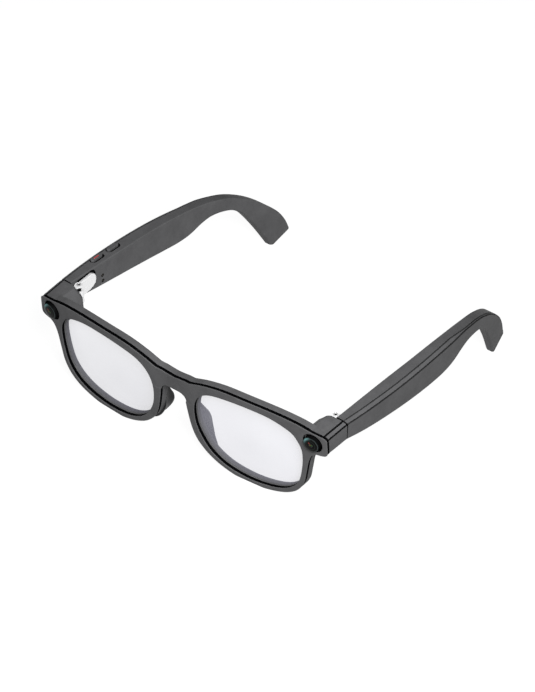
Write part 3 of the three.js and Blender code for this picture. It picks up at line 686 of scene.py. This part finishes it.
def dome_material():
    """The camera window: black glass over a ringed lens, with a painted green reflection towards one edge and
    painted glints.
    """
    n = Nodes("camera_dome_glass")
    radius = n.reach(0, 0, DOME_RADIUS)
    edge = n.ramp(radius, BLACK, WHITE, 0.66, 0.88)
    # Painted green reflection, kept to the outer part of the dome.
    coating = n.ramp(n.reach(PAINTED_REFLECTION_X, PAINTED_REFLECTION_Z, PAINTED_REFLECTION_RADIUS), (0.035, 0.08, 0.08), BLACK, 0.1, 1.0)
    colour = n.mix("ADD", n.stops(radius, DOME_RINGS_AND_HIGHLIGHTS), n.mix("MULTIPLY", coating, edge))
    # Painted glints near the middle of the dome.
    for x, z, size, glint in GLINTS:
        colour = n.mix("ADD", colour, n.ramp(n.reach(x, z, size), glint, BLACK, 0.1, 1.0))
    n.link(colour, n.shader.inputs["Base Color"])
    n.link(n.span(n.noise(300), 0.10, 0.16), n.shader.inputs["Roughness"])
    n.set(IOR=1.5, Specular_IOR_Level=0.03)
    return n.material


GREY = (0.0315, 0.0315, 0.0324)
frame_plastic = plastic("frame_satin_grey", GREY, 0.45, level=0.03)
temple_plastic = plastic("temple_satin_grey", GREY, 0.45, level=0.03)
# Near-black painted shadow for the insides of grooves, gaps and recesses, and for the hinge pin's socket and
# the pin below its lug.
painted_groove_shadow = plastic("groove_shadow_grey", (0.0012, 0.0012, 0.0013), 0.6, grain=0.05, level=0.02)
# Softer painted shadow for the temples' grooves and seam.
painted_soft_groove_shadow = plastic("groove_soft_grey", (0.006, 0.006, 0.0062), 0.6, grain=0.05, level=0.02)
seal_black = plastic("seal_black_rubber", (0.0006, 0.0006, 0.0007), 0.65, grain=0.2, grain_scale=3000,
                     level=0.0)
pad_plastic = plastic("nose_pad_dark", (0.007, 0.007, 0.0074), 0.40, level=0.06)
camera_black = plastic("camera_black", (0.001, 0.001, 0.0011), 0.5, grain=0.06, level=0.02)
button_plastic = plastic("button_grey", (0.030, 0.030, 0.031), 0.5, grain=0.6, grain_scale=1900, level=0.08,
                         spread=0.3)
mark_red = plastic("mark_red_gloss", (0.17, 0.014, 0.014), 0.35, grain=0.05, level=0.3, spread=0.12)
speaker_black = plastic("speaker_black", (0.02, 0.02, 0.022), 0.5, grain=0.3, grain_scale=1500)
hinge_steel = metal("hinge_steel", (0.36, 0.36, 0.362), 0.36, metallic=0.3)
screw_steel = metal("screw_steel", (0.22, 0.22, 0.221), 0.36, metallic=0.4)
battery_foil = metal("battery_foil", (0.55, 0.56, 0.58), 0.36, (900, 60, 900))
microphone_metal = metal("microphone_can", (0.62, 0.58, 0.46), 0.3)
# Gold contacts darkened to near black: painted shade at the bottom of their holes.
contact_metal_in_painted_shade = metal("contact_gold", (0.012, 0.010, 0.007), 0.5)
board_green = board_material("board_green", (0.02, 0.16, 0.07))
flex_amber = board_material("flex_amber", (0.45, 0.19, 0.05))
lens_clear = lens_material()
dome_glass = dome_material()

SIDES = (("left", 1), ("right", -1))

# ---- the front ----


def tucked(loop):
    """The front's outline drawn in at its ends, where the end pieces take over."""
    x, z = loop[:, 0], loop[:, 1]
    share = np.clip((abs(x) - TUCK_START_X) / TUCK_LENGTH, 0, 1) * (z > TUCK_LOWEST_Z)
    return np.stack([x * (1 - TUCK_INWARDS * share), z + share * TUCK_TO_MIDDLE * (END_MIDDLE_Z - z)], 1)


def end_share(y):
    """How far back a depth lies between the front and the rear of the end piece's chamfer, from 0 to 1."""
    return min(max((y - END_CHAMFER_Y) / (END_REAR_Y - END_CHAMFER_Y), 0.0), 1.0)


def end_outer(y):
    return END_FRONT_X + (END_REAR_X - END_FRONT_X) * end_share(y)


def end_outline(y):
    """The left end piece's section at one depth, with the chamfer's two grooves."""
    share, outer = end_share(y), end_outer(y)
    top_inner = 1.1 - 0.8 * share
    length = math.hypot(CHAMFER_WIDTH, CHAMFER_DROP)
    back_x = CHAMFER_WIDTH * END_GROOVE_WIDTH / length
    back_z = CHAMFER_DROP * END_GROOVE_WIDTH / length
    top, low, soft = END_TOP_Z, END_BOTTOM_Z, 1 - share
    return [
        (END_INNER_X, low + 0.5), (END_INNER_X + 0.5, low), (outer - 1.6 - soft, low - 0.2 * soft),
        (outer - 0.9, low + 0.2 + 0.15 * soft), (outer - 0.35 + 0.2 * soft, low + 0.9 + 0.8 * soft),
        (outer, top - CHAMFER_DROP - END_GROOVE_WIDTH), (outer - GROOVE_DEPTH, top - CHAMFER_DROP - 0.1),
        (outer - back_x, top - CHAMFER_DROP + back_z), (outer - CHAMFER_WIDTH + back_x, top - back_z),
        (outer - CHAMFER_WIDTH, top - GROOVE_DEPTH), (outer - CHAMFER_WIDTH - END_GROOVE_WIDTH, top + 0.03),
        (END_FACET_X + 0.5, top_inner), (END_FACET_X - 0.1, top_inner - 0.25), (END_INNER_X, top_inner - 4.1),
    ]


def end_sections():
    """Rings of the left end piece, from just behind the seam back to the split."""
    rings = []
    for depth in END_DEPTHS:
        ring = end_outline(END_CHAMFER_Y)
        rings.append(np.array([(x, float(face_y(x)) + depth, z) for x, z in ring]))
    for y in END_STATIONS:
        outer = end_outer(y)
        inset = END_CAP_INSET if y >= END_REAR_Y else 0.0
        centre_x = (END_INNER_X + outer) / 2 + 2
        ring = []
        for x, z in end_outline(y):
            down = min(max((END_TOP_Z - z) / (END_TOP_Z - END_BOTTOM_Z), 0.0), 1.0)
            x = max(x, rear_corner(y, down))
            reach = max(0.0, min(1.0, (x - outer + BOW_REACH) / BOW_REACH))
            late = max(0.0, (y - BOW_START_Y) / BOW_LENGTH)
            bulge = max(0.0, min(1.0, (BULGE_END_X - x) / BULGE_FADE))
            bow = SPLIT_BOW * 4 * down * (1 - down) * reach * late
            bow += REAR_BULGE * min(1.0, down * 4) * late * bulge
            x += inset * (1 if x < centre_x else -1)
            z += inset * (1 if z < END_MIDDLE_Z else -1)
            ring.append((x, y + bow, z))
        rings.append(np.array(ring))
    return rings


def rear_corner(y, down):
    """How far in the end piece reaches near its rear corner, which is rounder at the top."""
    at_top = np.interp(y, CORNER_DEPTHS, CORNER_TOP_X)
    below = np.interp(y, CORNER_DEPTHS, CORNER_LOW_X)
    return float(at_top + (below - at_top) * min(1.0, down * 3.5))


def hinge_slot():
    """The slot that holds the left hinge's front leaf."""
    half = LEAF_THICKNESS / 2 + SLOT_GAP
    outline = box_outline(HINGE_X - half, HINGE_X + half, SLOT_FRONT_Y, HINGE_Y)
    return prism("slot", outline, "z", SLOT_BOTTOM_Z, HINGE_TOP_Z + 0.3)


def build_front():
    lip = slab("front_face", FRONT, OPENINGS + WINDOWS, rounded(0.0, LIP_BACK, LIP_EDGE))
    dress(lip, "front", "frame_plastic", [frame_plastic], "front_plate")
    seal_profile = [(SEAL_FRONT, SEAL_INSET), (SEAL_BACK, SEAL_INSET)]
    seal = slab("front_seam_seal", FRONT, OPENINGS + WINDOWS, seal_profile)
    dress(seal, "front", "seal", [seal_black], "front_gasket")
    rim = slab("rear_frame", tucked(FRONT), OPENINGS + WINDOWS, rounded(RIM_FRONT, RIM_BACK, EDGE))
    for sign in (1, -1):
        end = loft("end", end_sections(), END_KINDS)
        slot = hinge_slot()
        if sign < 0:
            flip(end)
            flip(slot)
        boolean(end, [slot])
        end.data.materials.clear()
        pocket = [(0, POCKET_FRONT), (RECESS_RADIUS, POCKET_FRONT), (RECESS_RADIUS, POCKET_BACK),
                  (0, POCKET_BACK)]
        boolean(end, [turning("pocket", pocket, camera_place(sign))])
        rim = boolean(rim, [end], "UNION")
    dress(rim, "front", "frame_plastic", [frame_plastic, painted_groove_shadow], "back_frame", sharp=50)
    assign_grooves(rim)


def assign_grooves(rim):
    """Gives the faces inside the end pieces' two grooves, and those that face the split before the temple,
    the painted groove shadow.
    """
    upright = Matrix.Rotation(-TILT, 4, "X")
    for polygon in rim.data.polygons:
        polygon.material_index = 0
        x, y, z = to_design(polygon.center)
        if y < GROOVE_START_Y or abs(x) < GROOVE_INNER_X:
            continue
        inwards = end_outer(y) - abs(x)
        width = END_GROOVE_WIDTH + GROOVE_MARGIN
        on_side = abs(inwards) < GROOVE_DEPTH + 0.05 and abs(z - END_TOP_Z + CHAMFER_DROP) < width
        on_top = abs(inwards - CHAMFER_WIDTH) < width and -0.25 < z < END_TOP_Z + 0.05
        faces_split = y > END_REAR_Y - 0.25 and (upright @ polygon.normal).y > FACES_BACK
        if on_side or on_top or faces_split:
            polygon.material_index = 1


def camera_place(side):
    turn = math.asin(CAMERA_X / FACE_RADIUS)
    return placed(side * CAMERA_X, float(face_y(CAMERA_X)), CAMERA_Z, turn_z=side * turn)


def build_cameras():
    inner, outer = RECESS_RADIUS - 0.02, RECESS_RADIUS + BEZEL_WALL
    tube = [(inner, BEZEL_FRONT), (outer, BEZEL_FRONT), (outer, BEZEL_BACK), (BEZEL_BORE, BEZEL_BACK),
            (BEZEL_BORE, BEZEL_SHELF_EDGE), (inner, BEZEL_SHELF), (inner, BEZEL_FRONT)]
    reach, fall = math.sin(DOME_ARC), 1 - math.cos(DOME_ARC)
    crown = [(DOME_RADIUS * math.sin(t) / reach, -DOME_PROUD + DOME_HEIGHT * (1 - math.cos(t)) / fall)
             for t in np.linspace(0, DOME_ARC, 14)]
    barrel = [(BARREL_RADIUS, DOME_HEIGHT - DOME_PROUD + 0.06), (BARREL_RADIUS, BARREL_BACK),
              (0, BARREL_BACK)]
    for label, side in SIDES:
        place = camera_place(side)
        bezel = turning(f"camera_bezel_ring_{label}", tube, place)
        dress(bezel, "front", "camera_black", [camera_black], f"camera_bezel_{label}",
              f"camera_module_{label}")
        dome = turning(f"camera_dome_{label}", crown + barrel, place, 96)
        dress(dome, "front", "camera_glass", [dome_glass, camera_black], f"camera_cover_{label}")
        for polygon in dome.data.polygons:
            polygon.material_index = 1 if abs(polygon.normal.y) < 0.3 else 0


def build_lenses():
    for label, side in SIDES:
        outline = grow(OPENING, LENS_INTO_RIM)
        profile = rounded(LENS_FRONT, LENS_BACK, 0.2, 3)
        lens = slab(f"clear_lens_{label}", outline if side > 0 else mirrored(outline), [], profile)
        dress(lens, "front", "lens", [lens_clear], f"lens_{label}")


PAD_STATIONS = np.array([
    (-11.4, 6.5, 0.1), (-12.2, 6.5, 0.6), (-15.0, 6.9, 1.6), (-19.6, 7.6, 3.9), (-22.4, 8.0, 5.4),
    (-24.8, 8.3, 6.1), (-26.4, 8.6, 6.2), (-28.4, 9.3, 5.7), (-30.3, 10.4, 4.9), (-32.0, 11.6, 3.9),
    (-33.6, 13.2, 2.8), (-34.8, 14.9, 1.7), (-35.6, 16.5, 0.5),
])
PAD_SECTION = [(0.35, 0.0), (0.9, 0.25), (1.15, 0.55), (0.9, 0.78), (0.75, 0.92), (1.2, 1.0), (1.9, 0.97),
               (2.4, 0.7), (2.7, 0.35), (2.8, 0.0)]
PAD_INTO_RIM = 0.15
PAD_DEEPER = 0.3


def build_pads():
    """Fins behind the nose side of each rim, hollow towards the nose."""
    base = RIM_BACK - PAD_INTO_RIM
    for label, side in SIDES:
        rings = [np.array([(side * (x + across), base + share * (depth + PAD_DEEPER), z)
                           for across, share in PAD_SECTION]) for z, x, depth in spline(PAD_STATIONS, 44)]
        pad = loft(f"nose_pad_fin_{label}", rings, [0] * len(PAD_SECTION))
        dress(pad, "front", "pad", [pad_plastic], f"nose_pad_{label}", sharp=60)


# ---- hinges ----


def rounded_post(name, radius, low, high, hole=0.0, edge=0.18):
    """A knuckle on the hinge axis of the left side, as rings from its top to its bottom."""
    profile = [(0, high), (radius - edge, high), (radius - edge * 0.3, high - edge * 0.3),
               (radius, high - edge), (radius, low + edge), (radius - edge, low), (0, low)]
    if hole:
        profile[0] = (0, high - SOCKET_DEPTH)
        profile.insert(1, (hole, high - SOCKET_DEPTH))
        profile.insert(2, (hole, high - 0.08))
        profile.insert(3, (hole + 0.08, high))
    upright = Matrix.Rotation(math.pi / 2, 4, "X")
    return turning(name, profile, placed(HINGE_X, HINGE_Y, 0) @ upright, 48)


def settled(obj):
    """Moves the object's transform into its mesh, so that it sits at the origin."""
    obj.data.transform(obj.matrix_world)
    obj.matrix_world = Matrix.Identity(4)
    return obj


def merged(name, objs):
    """One object that holds the meshes of all of them."""
    bm = bmesh.new()
    for obj in objs:
        bm.from_mesh(settled(obj).data)
        bpy.data.objects.remove(obj)
    mesh = bpy.data.meshes.new(name)
    bm.to_mesh(mesh)
    bm.free()
    return linked(name, mesh)


def lug_outline():
    """The pointed lug of the front leaf, in plan."""
    turn = np.linspace(-0.5 * math.pi, 0.62 * math.pi, 26)
    eye = [(HINGE_X + KNUCKLE_RADIUS * math.sin(t), HINGE_Y + KNUCKLE_RADIUS * math.cos(t)) for t in turn]
    nose = [(HINGE_X + 1.0, HINGE_Y - 2.2), (HINGE_X + 0.3, HINGE_Y - 2.7), (HINGE_X - 0.65, HINGE_Y - 2.2)]
    return np.array(eye + nose)[::-1]


def front_leaf(label):
    """The end piece's leaf: the lug on top, the lowest knuckle, and the plate and foot that hold them."""
    inner, outer = HINGE_X - LEAF_THICKNESS / 2, HINGE_X + LEAF_THICKNESS / 2
    lug = prism("lug", lug_outline(), "z", LUG_BOTTOM_Z, HINGE_TOP_Z, edge=0.14)
    knuckle = rounded_post("low_lug", POST_RADIUS, *LOW_KNUCKLE_Z)
    plate = prism("plate", box_outline(inner, outer, *PLATE_Y), "z", PLATE_BOTTOM_Z, HINGE_TOP_Z - 0.05)
    foot = prism("foot", box_outline(inner, outer, *FOOT_Y), "z", *FOOT_Z)
    return merged(f"hinge_leaf_front_{label}", [lug, knuckle, plate, foot])


def hinge_pin(label):
    """The ring on top of the lug, its dark socket, and the pin below."""
    ring = rounded_post("cap", RING_RADIUS, LUG_BOTTOM_Z, HINGE_TOP_Z + 0.12, hole=SOCKET_RADIUS, edge=0.12)
    socket = rounded_post("socket", SOCKET_RADIUS, HINGE_TOP_Z - 0.4, HINGE_TOP_Z + 0.04, edge=0.02)
    pin = rounded_post("pin", PIN_RADIUS, PIN_BOTTOM_Z, LUG_BOTTOM_Z - 0.05)
    return merged(f"hinge_pin_{label}", [ring, socket, pin])


def temple_leaf(label):
    """The temple's leaf: its knuckle, the leaf on the shell, and the arm between them."""
    barrel = rounded_post("barrel", POST_RADIUS, BARREL_BOTTOM_Z, BARREL_TOP_Z)
    leaf = prism("leaf", leaf_outline(0.0, 0.0, 0.0), "x", LEAF_X, LEAF_X + LEAF_THICKNESS, edge=0.16)
    outline = [[HINGE_X, 21.4], [LEAF_X + 1, 21.4], [LEAF_X + 1, 23.2], [HINGE_X + 1.1, 22.5]]
    arm = prism("arm", outline, "z", BARREL_BOTTOM_Z + 0.1, BARREL_TOP_Z - 0.1)
    return merged(f"hinge_leaf_temple_{label}", [barrel, leaf, arm])


def build_hinges():
    for label, side in SIDES:
        front, screw, temple = front_leaf(label), hinge_pin(label), temple_leaf(label)
        for obj in (front, screw, temple):
            if side < 0:
                flip(obj)
            tidy(obj)
        dress(front, "front", "hinge_steel", [hinge_steel], f"hinge_front_leaf_{label}", sharp=35)
        dress(screw, "front", "screw_steel", [screw_steel, painted_groove_shadow], f"hinge_screw_{label}", sharp=35)
        darken_pin(screw)
        dress(temple, f"temple_{label}", "hinge_steel", [hinge_steel], f"hinge_temple_leaf_{label}", sharp=35)


def darken_pin(screw):
    """Only the ring round the top of the hinge pin is bright: its socket and the pin below lie in shadow."""
    for polygon in screw.data.polygons:
        x, y, z = to_design(polygon.center)
        in_socket = math.hypot(abs(x) - HINGE_X, y - HINGE_Y) < SOCKET_RADIUS + 0.02
        polygon.material_index = 1 if in_socket or z < LUG_BOTTOM_Z - 0.02 else 0


def leaf_outline(extra, rear_extra, top_extra):
    """The temple leaf's outline, y against z, with a rounded rear end."""
    front, back = LEAF_FRONT_Y - extra, LEAF_BACK_Y + rear_extra
    bottom, top = LEAF_BOTTOM_Z - extra, LEAF_TOP_Z + top_extra
    upper = spline([(back - 2.4, top), (back - 0.7, top - 0.9), (back, top - 2.7)], 8)
    lower = spline([(back, top - 3.0), (back - 0.9, bottom + 1.5), (back - 4.2, bottom)], 8)
    points = [(front, top), *upper.tolist(), *lower.tolist(), (front, bottom)]
    return np.array(points)[::-1]


# ---- temples ----

TEMPLE_TOP = [[TEMPLE_FRONT_Y, 0.3], [45, -2.2], [75, -5.5], [95, -8.8], [108, -12.3], [117, -16.1],
              [127, -23.0], [136.0, -32.4], [140.7, -40.0], [142.9, -46.0]]
TEMPLE_BOTTOM = [[TEMPLE_FRONT_Y, -9.6], [30, -12.3], [45, -15.2], [65, -18.9], [80, -21.4], [87.5, -22.0],
                 [92.5, -21.5], [98, -19.9], [103, -19.1], [108.8, -19.8], [114.6, -21.8], [119, -25.4],
                 [122.4, -30.1], [127.3, -39.4], [132.0, -49.8]]
TEMPLE_INNER = [[70.2, 16], [70.2, 22], [69.9, 35], [69.5, 50], [69.1, 68], [68.4, 82], [67.4, 95],
                [66.0, 106], [64.0, 116], [61.0, 126], [58.0, 134], [57.0, 140], [56.6, 146], [56.4, 149]]
TEMPLE_PAIRS = [[18.6, 18.6], [45, 45], [75, 74.5], [88, 86], [100, 95.5], [108, 101.0], [115, 106.3],
                [121, 111.0], [127, 115.6], [132, 119.2], [136.4, 122.5], [139.7, 125.8], [141.7, 129.0],
                [142.9, 132.0]]

top_line = spline(TEMPLE_TOP, 300)
bottom_line = spline(TEMPLE_BOTTOM, 300)
inner_line = spline(TEMPLE_INNER, 200)


def inner_x(y):
    return float(np.interp(y, inner_line[:, 1], inner_line[:, 0]))


def outer_x(y, z):
    """The outer side, which bows along the temple and leans in towards its lower edge."""
    return BOW_OUTER_X - BOW * (y - BOW_CENTRE_Y) ** 2 + LEAN * (z + 2)


def top_z(y):
    return float(np.interp(y, top_line[:, 0], top_line[:, 1]))


def temple_lines():
    """Matching points of the top and bottom edges from the front to the tip, as (y, z) pairs."""
    pairs = even(spline(TEMPLE_PAIRS, 240), 0.9)
    pairs = np.vstack([[[y, y] for y in FIRST_STATIONS], pairs[pairs[:, 0] > 21]])
    lines = zip(pairs.T, (top_line, bottom_line))
    return [np.stack([ys, np.interp(ys, line[:, 0], line[:, 1])], 1) for ys, line in lines]


def chamfer_share(y):
    """The chamfer narrows along the ear hook."""
    return min(1.0, max(CHAMFER_LEAST, (CHAMFER_END_Y - y) / CHAMFER_FADE))


def cover_section(height, y):
    """The outer half's section: inset from the outer side, and distance down from the top edge."""
    share = chamfer_share(y)
    width, drop = CHAMFER_WIDTH * share, CHAMFER_DROP * share
    length = math.hypot(width, drop)
    back = min(0.47, GROOVE_WIDTH / length)
    radius = min(1.0, height * 0.12)
    arc = [(radius * a, height - radius * b) for a, b in quarter(6)]
    section = [(width, SEAM_START), (width * (1 - back * 0.55), drop * back * 0.55),
               (width * back, drop * (1 - back)), (GROOVE_DEPTH, drop + 0.08), (0.0, drop + GROOVE_WIDTH)]
    section += arc + [(width, height)]
    # Kind 1 marks the groove faces, which take the softer painted groove shadow.
    kinds = [1, 0, 1, 1, 0] + [0] * (len(arc) - 1) + [0, 0]
    return section, kinds


def shell_section(height, y):
    """The inner half's section: positive insets are from the outer side, negative ones from the inner."""
    seam = CHAMFER_WIDTH * chamfer_share(y) + SEAM_GAP
    radius = float(np.interp(y, [20, 55, 100, 120], [1.0, 1.8, 1.6, 1.1]))
    arc = [(-SHELL_TOP_RADIUS * b - 1e-6, SHELL_TOP_RADIUS * a) for a, b in quarter(5)]
    low = [(-radius * a - 1e-6, height - radius * b) for a, b in quarter(8)]
    section = [(seam, SEAM_START), (seam + SEAM_EDGE, 0.0)] + arc + low + [(seam, height)]
    # Kind 1 marks the seam's face, which takes the softer painted groove shadow.
    kinds = [1, 0] + [0] * (len(section) - 2)
    return section, kinds


def section_ring(section, top, bottom, lead):
    """A section's points in the design frame. Lead is how far the split's bow moves its points back."""
    height = float(np.linalg.norm(bottom - top))
    down = (bottom - top) / height
    ring = []
    for inset, distance in section:
        y, z = top + down * distance
        outer, inner = outer_x(y, z), inner_x(y)
        share = min(max(distance / height, 0.0), 1.0)
        if inset < 0:
            x = inner - inset
        else:
            x = max(outer - inset, inner + LEAST_WIDTH)
            y += lead * SPLIT_BOW * 4 * share * (1 - share) * max(0.0, 1 - inset / 2)
        ring.append((x, y, z))
    return np.array(ring)


def shrunk(ring, across, along):
    """A ring drawn in towards its centre, by one factor across the temple and one along its section."""
    centre = ring.mean(0)
    return centre + (ring - centre) * np.array([across, along, along])


def temple_piece(name, section_of):
    """One half of the left temple, from the split to its rounded tip."""
    tops, bottoms = temple_lines()
    rings = []
    for top, bottom in zip(tops, bottoms):
        height = float(np.linalg.norm(bottom - top))
        section, kinds = section_of(height, top[0])
        lead = max(0.0, 1 - (top[0] - TEMPLE_FRONT_Y) / LEAD_LENGTH)
        rings.append(section_ring(section, top, bottom, lead))
    rings[0] = shrunk(rings[0], *FIRST_RING)
    last = rings[-1]
    step = np.cross(np.array([1.0, 0, 0]), np.array([0, *(tops[-1] - bottoms[-1])]))
    step /= np.linalg.norm(step)
    if step[2] > 0:
        step = -step
    for t in np.linspace(0, math.pi / 2, 7)[1:]:
        across = 1 - TIP_ACROSS * (1 - math.cos(t))
        along = 1 - TIP_ALONG * (1 - math.cos(t))
        rings.append(shrunk(last, across, along) + step * (TIP_ROUNDING * math.sin(t)))
    # The first cap and the strip beside it, at the split, take the painted groove shadow.
    return loft(name, rings, kinds, 2)


def pill(width, length, count=12):
    radius, half = width / 2, length / 2 - width / 2
    turn = np.linspace(0, math.pi, count)
    front = np.stack([radius * np.cos(turn), half + radius * np.sin(turn)], 1)
    return np.vstack([front, -front])


def button_place(y):
    slope = (top_z(y + 3) - top_z(y - 3)) / 6
    return placed(-BUTTON_X, y, top_z(y), turn_x=math.atan(slope))


def temple_cutters(side):
    """The recesses of one temple: the hinge leaf's, and on the right the buttons' and the contacts'."""
    leaf = prism("leaf_cut", leaf_outline(*LEAF_CUT), "x", CUT_INNER_X, LEAF_X + LEAF_THICKNESS + 0.3)
    if side > 0:
        return [leaf]
    flip(leaf)
    cutters = [leaf]
    width = BUTTON_WIDTH + 2 * BUTTON_GAP + RECESS_WIDER
    length = BUTTON_LENGTH + 2 * BUTTON_GAP + RECESS_LONGER
    for y in (CAPTURE_Y, POWER_Y):
        outline = pill(width, length) + RECESS_SHIFT
        cutters.append(prism("pill_cut", outline, "z", -RECESS_DEPTH, 3.0, button_place(y)))
    for z in CONTACT_HEIGHTS:
        ring = circle(CONTACT_Y, z, CONTACT_RADIUS, 24)
        cutters.append(flip(prism("contact_cut", ring, "x", CUT_INNER_X, CONTACT_OUTER_X)))
    return cutters


def copy_of(obj):
    twin = obj.copy()
    twin.data = obj.data.copy()
    bpy.context.scene.collection.objects.link(twin)
    return twin


def build_temples():
    for label, side in SIDES:
        cover = temple_piece(f"temple_outer_{label}", cover_section)
        shell = temple_piece(f"temple_inner_{label}", shell_section)
        for obj in (cover, shell):
            if side < 0:
                flip(obj)
            for material in (temple_plastic, painted_soft_groove_shadow, painted_groove_shadow):
                obj.data.materials.append(material)
        cutters = temple_cutters(side)
        # Recess walls cut by these take the painted groove shadow.
        for cutter in cutters:
            cutter.data.materials.append(painted_groove_shadow)
        if side < 0:
            boolean(cover, [copy_of(c) for c in cutters[1:3]])
        boolean(shell, cutters)
        dress_kept(cover, f"temple_{label}", f"temple_cover_{label}")
        dress_kept(shell, f"temple_{label}", f"temple_shell_{label}")


def dress_kept(obj, body, node):
    """Like dress, for a piece whose faces already carry their materials."""
    smooth(obj, 40)
    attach(obj, body)
    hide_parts(node)


def build_buttons():
    for y, label in ((CAPTURE_Y, "capture"), (POWER_Y, "power")):
        cap = prism(f"push_button_{label}", pill(BUTTON_WIDTH, BUTTON_LENGTH, 16), "z", -BUTTON_DEPTH,
                    BUTTON_PROUD, button_place(y), edge=0.2)
        dress(settled(cap), f"{label}_button", "button_plastic", [button_plastic], f"button_{label}")
    mark = prism("capture_mark", pill(0.5, 3.2, 10), "z", BUTTON_PROUD - 0.25,
                 BUTTON_PROUD + 0.03, button_place(CAPTURE_Y), edge=0.05)
    dress(settled(mark), "capture_button", "mark_red", [mark_red], "button_capture_mark")


def dress_inner_nodes():
    """Hidden pieces keep their CAD shape and get their own finish."""
    finishes = {"board": board_green, "circuit": flex_amber, "battery": battery_foil,
                "speaker": speaker_black, "microphone": microphone_metal, "contacts": contact_metal_in_painted_shade,
                "switch": camera_black}
    for name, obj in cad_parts.items():
        for word, material in finishes.items():
            if word in name and not obj.hide_render:
                obj.data.materials.clear()
                obj.data.materials.append(material)


build_front()
build_cameras()
build_lenses()
build_pads()
build_hinges()
build_temples()
build_buttons()
dress_inner_nodes()

# ---- stage, light and camera ----


FLOOR_HALF = 6.0
FLOOR_GAP = 0.00005
WORLD_STRENGTH = 0.14


def build_stage():
    """A wide floor just under the feet, which glows so that it comes out white."""
    mesh = bpy.data.meshes.new("floor")
    corners = [(x * FLOOR_HALF, y * FLOOR_HALF, 0) for x, y in ((-1, -1), (1, -1), (1, 1), (-1, 1))]
    mesh.from_pydata(corners, [], [(0, 1, 2, 3)])
    floor = linked("floor", mesh)
    n = Nodes("floor_white")
    n.link(n.ramp(n.noise(2.0, 2), [0.042] * 3, [0.050] * 3), n.shader.inputs["Base Color"])
    n.set(Roughness=0.95, Specular_IOR_Level=0.0, Emission_Color=(1, 1, 1, 1), Emission_Strength=0.93)
    mesh.materials.append(n.material)
    floor.location.z = -FLOOR_GAP


def build_world():
    world = bpy.data.worlds.new("studio")
    bpy.context.scene.world = world
    world.use_nodes = True
    background = world.node_tree.nodes["Background"]
    background.inputs["Color"].default_value = (1, 1, 1, 1)
    background.inputs["Strength"].default_value = WORLD_STRENGTH


def area_light(name, place, size, power, target=(0, 0, 0.02)):
    """A round light that faces the middle of the glasses."""
    light = bpy.data.lights.new(name, "AREA")
    light.shape = "DISK"
    light.size = size
    light.energy = power
    obj = linked(name, light)
    obj.location = place
    direction = Vector(target) - Vector(place)
    obj.rotation_mode = "QUATERNION"
    obj.rotation_quaternion = direction.to_track_quat("-Z", "Y")


def build_lights():
    area_light("key", (0.42, -0.36, 0.52), 0.35, 23)
    area_light("fill", (-0.60, -1.20, 0.70), 0.7, 9)
    area_light("top", (-0.20, 0.10, 1.30), 0.8, 3)


CAMERA_PLACE = (794.5, -836.5, 1015.1)
CAMERA_AZIMUTH = 0.7253774
CAMERA_ELEVATION = 0.7162735
CAMERA_ROLL = -0.0642415
CAMERA_LENS = 198.53


def build_camera():
    """The camera of the photograph, from its place and turns in the design frame."""
    a, e, r = CAMERA_AZIMUTH, CAMERA_ELEVATION, CAMERA_ROLL
    forward = np.array([-math.sin(a) * math.cos(e), math.cos(a) * math.cos(e), -math.sin(e)])
    level = np.array([math.cos(a), math.sin(a), 0.0])
    low = np.cross(forward, level)
    right = math.cos(r) * level - math.sin(r) * low
    down = math.sin(r) * level + math.cos(r) * low
    columns = [turned(right), turned(-down), turned(-forward)]
    data = bpy.data.cameras.new("photo_camera")
    data.lens = CAMERA_LENS
    data.sensor_width = 36.0
    data.clip_start = 0.05
    data.clip_end = 20.0
    camera = linked("photo_camera", data)
    spin = Matrix([[columns[k][row] for k in range(3)] for row in range(3)]).to_4x4()
    camera.matrix_world = Matrix.Translation(Vector(to_row([CAMERA_PLACE])[0])) @ spin
    bpy.context.scene.camera = camera


build_stage()
build_world()
build_lights()
build_camera()
bpy.context.scene.view_settings.view_transform = "Standard"
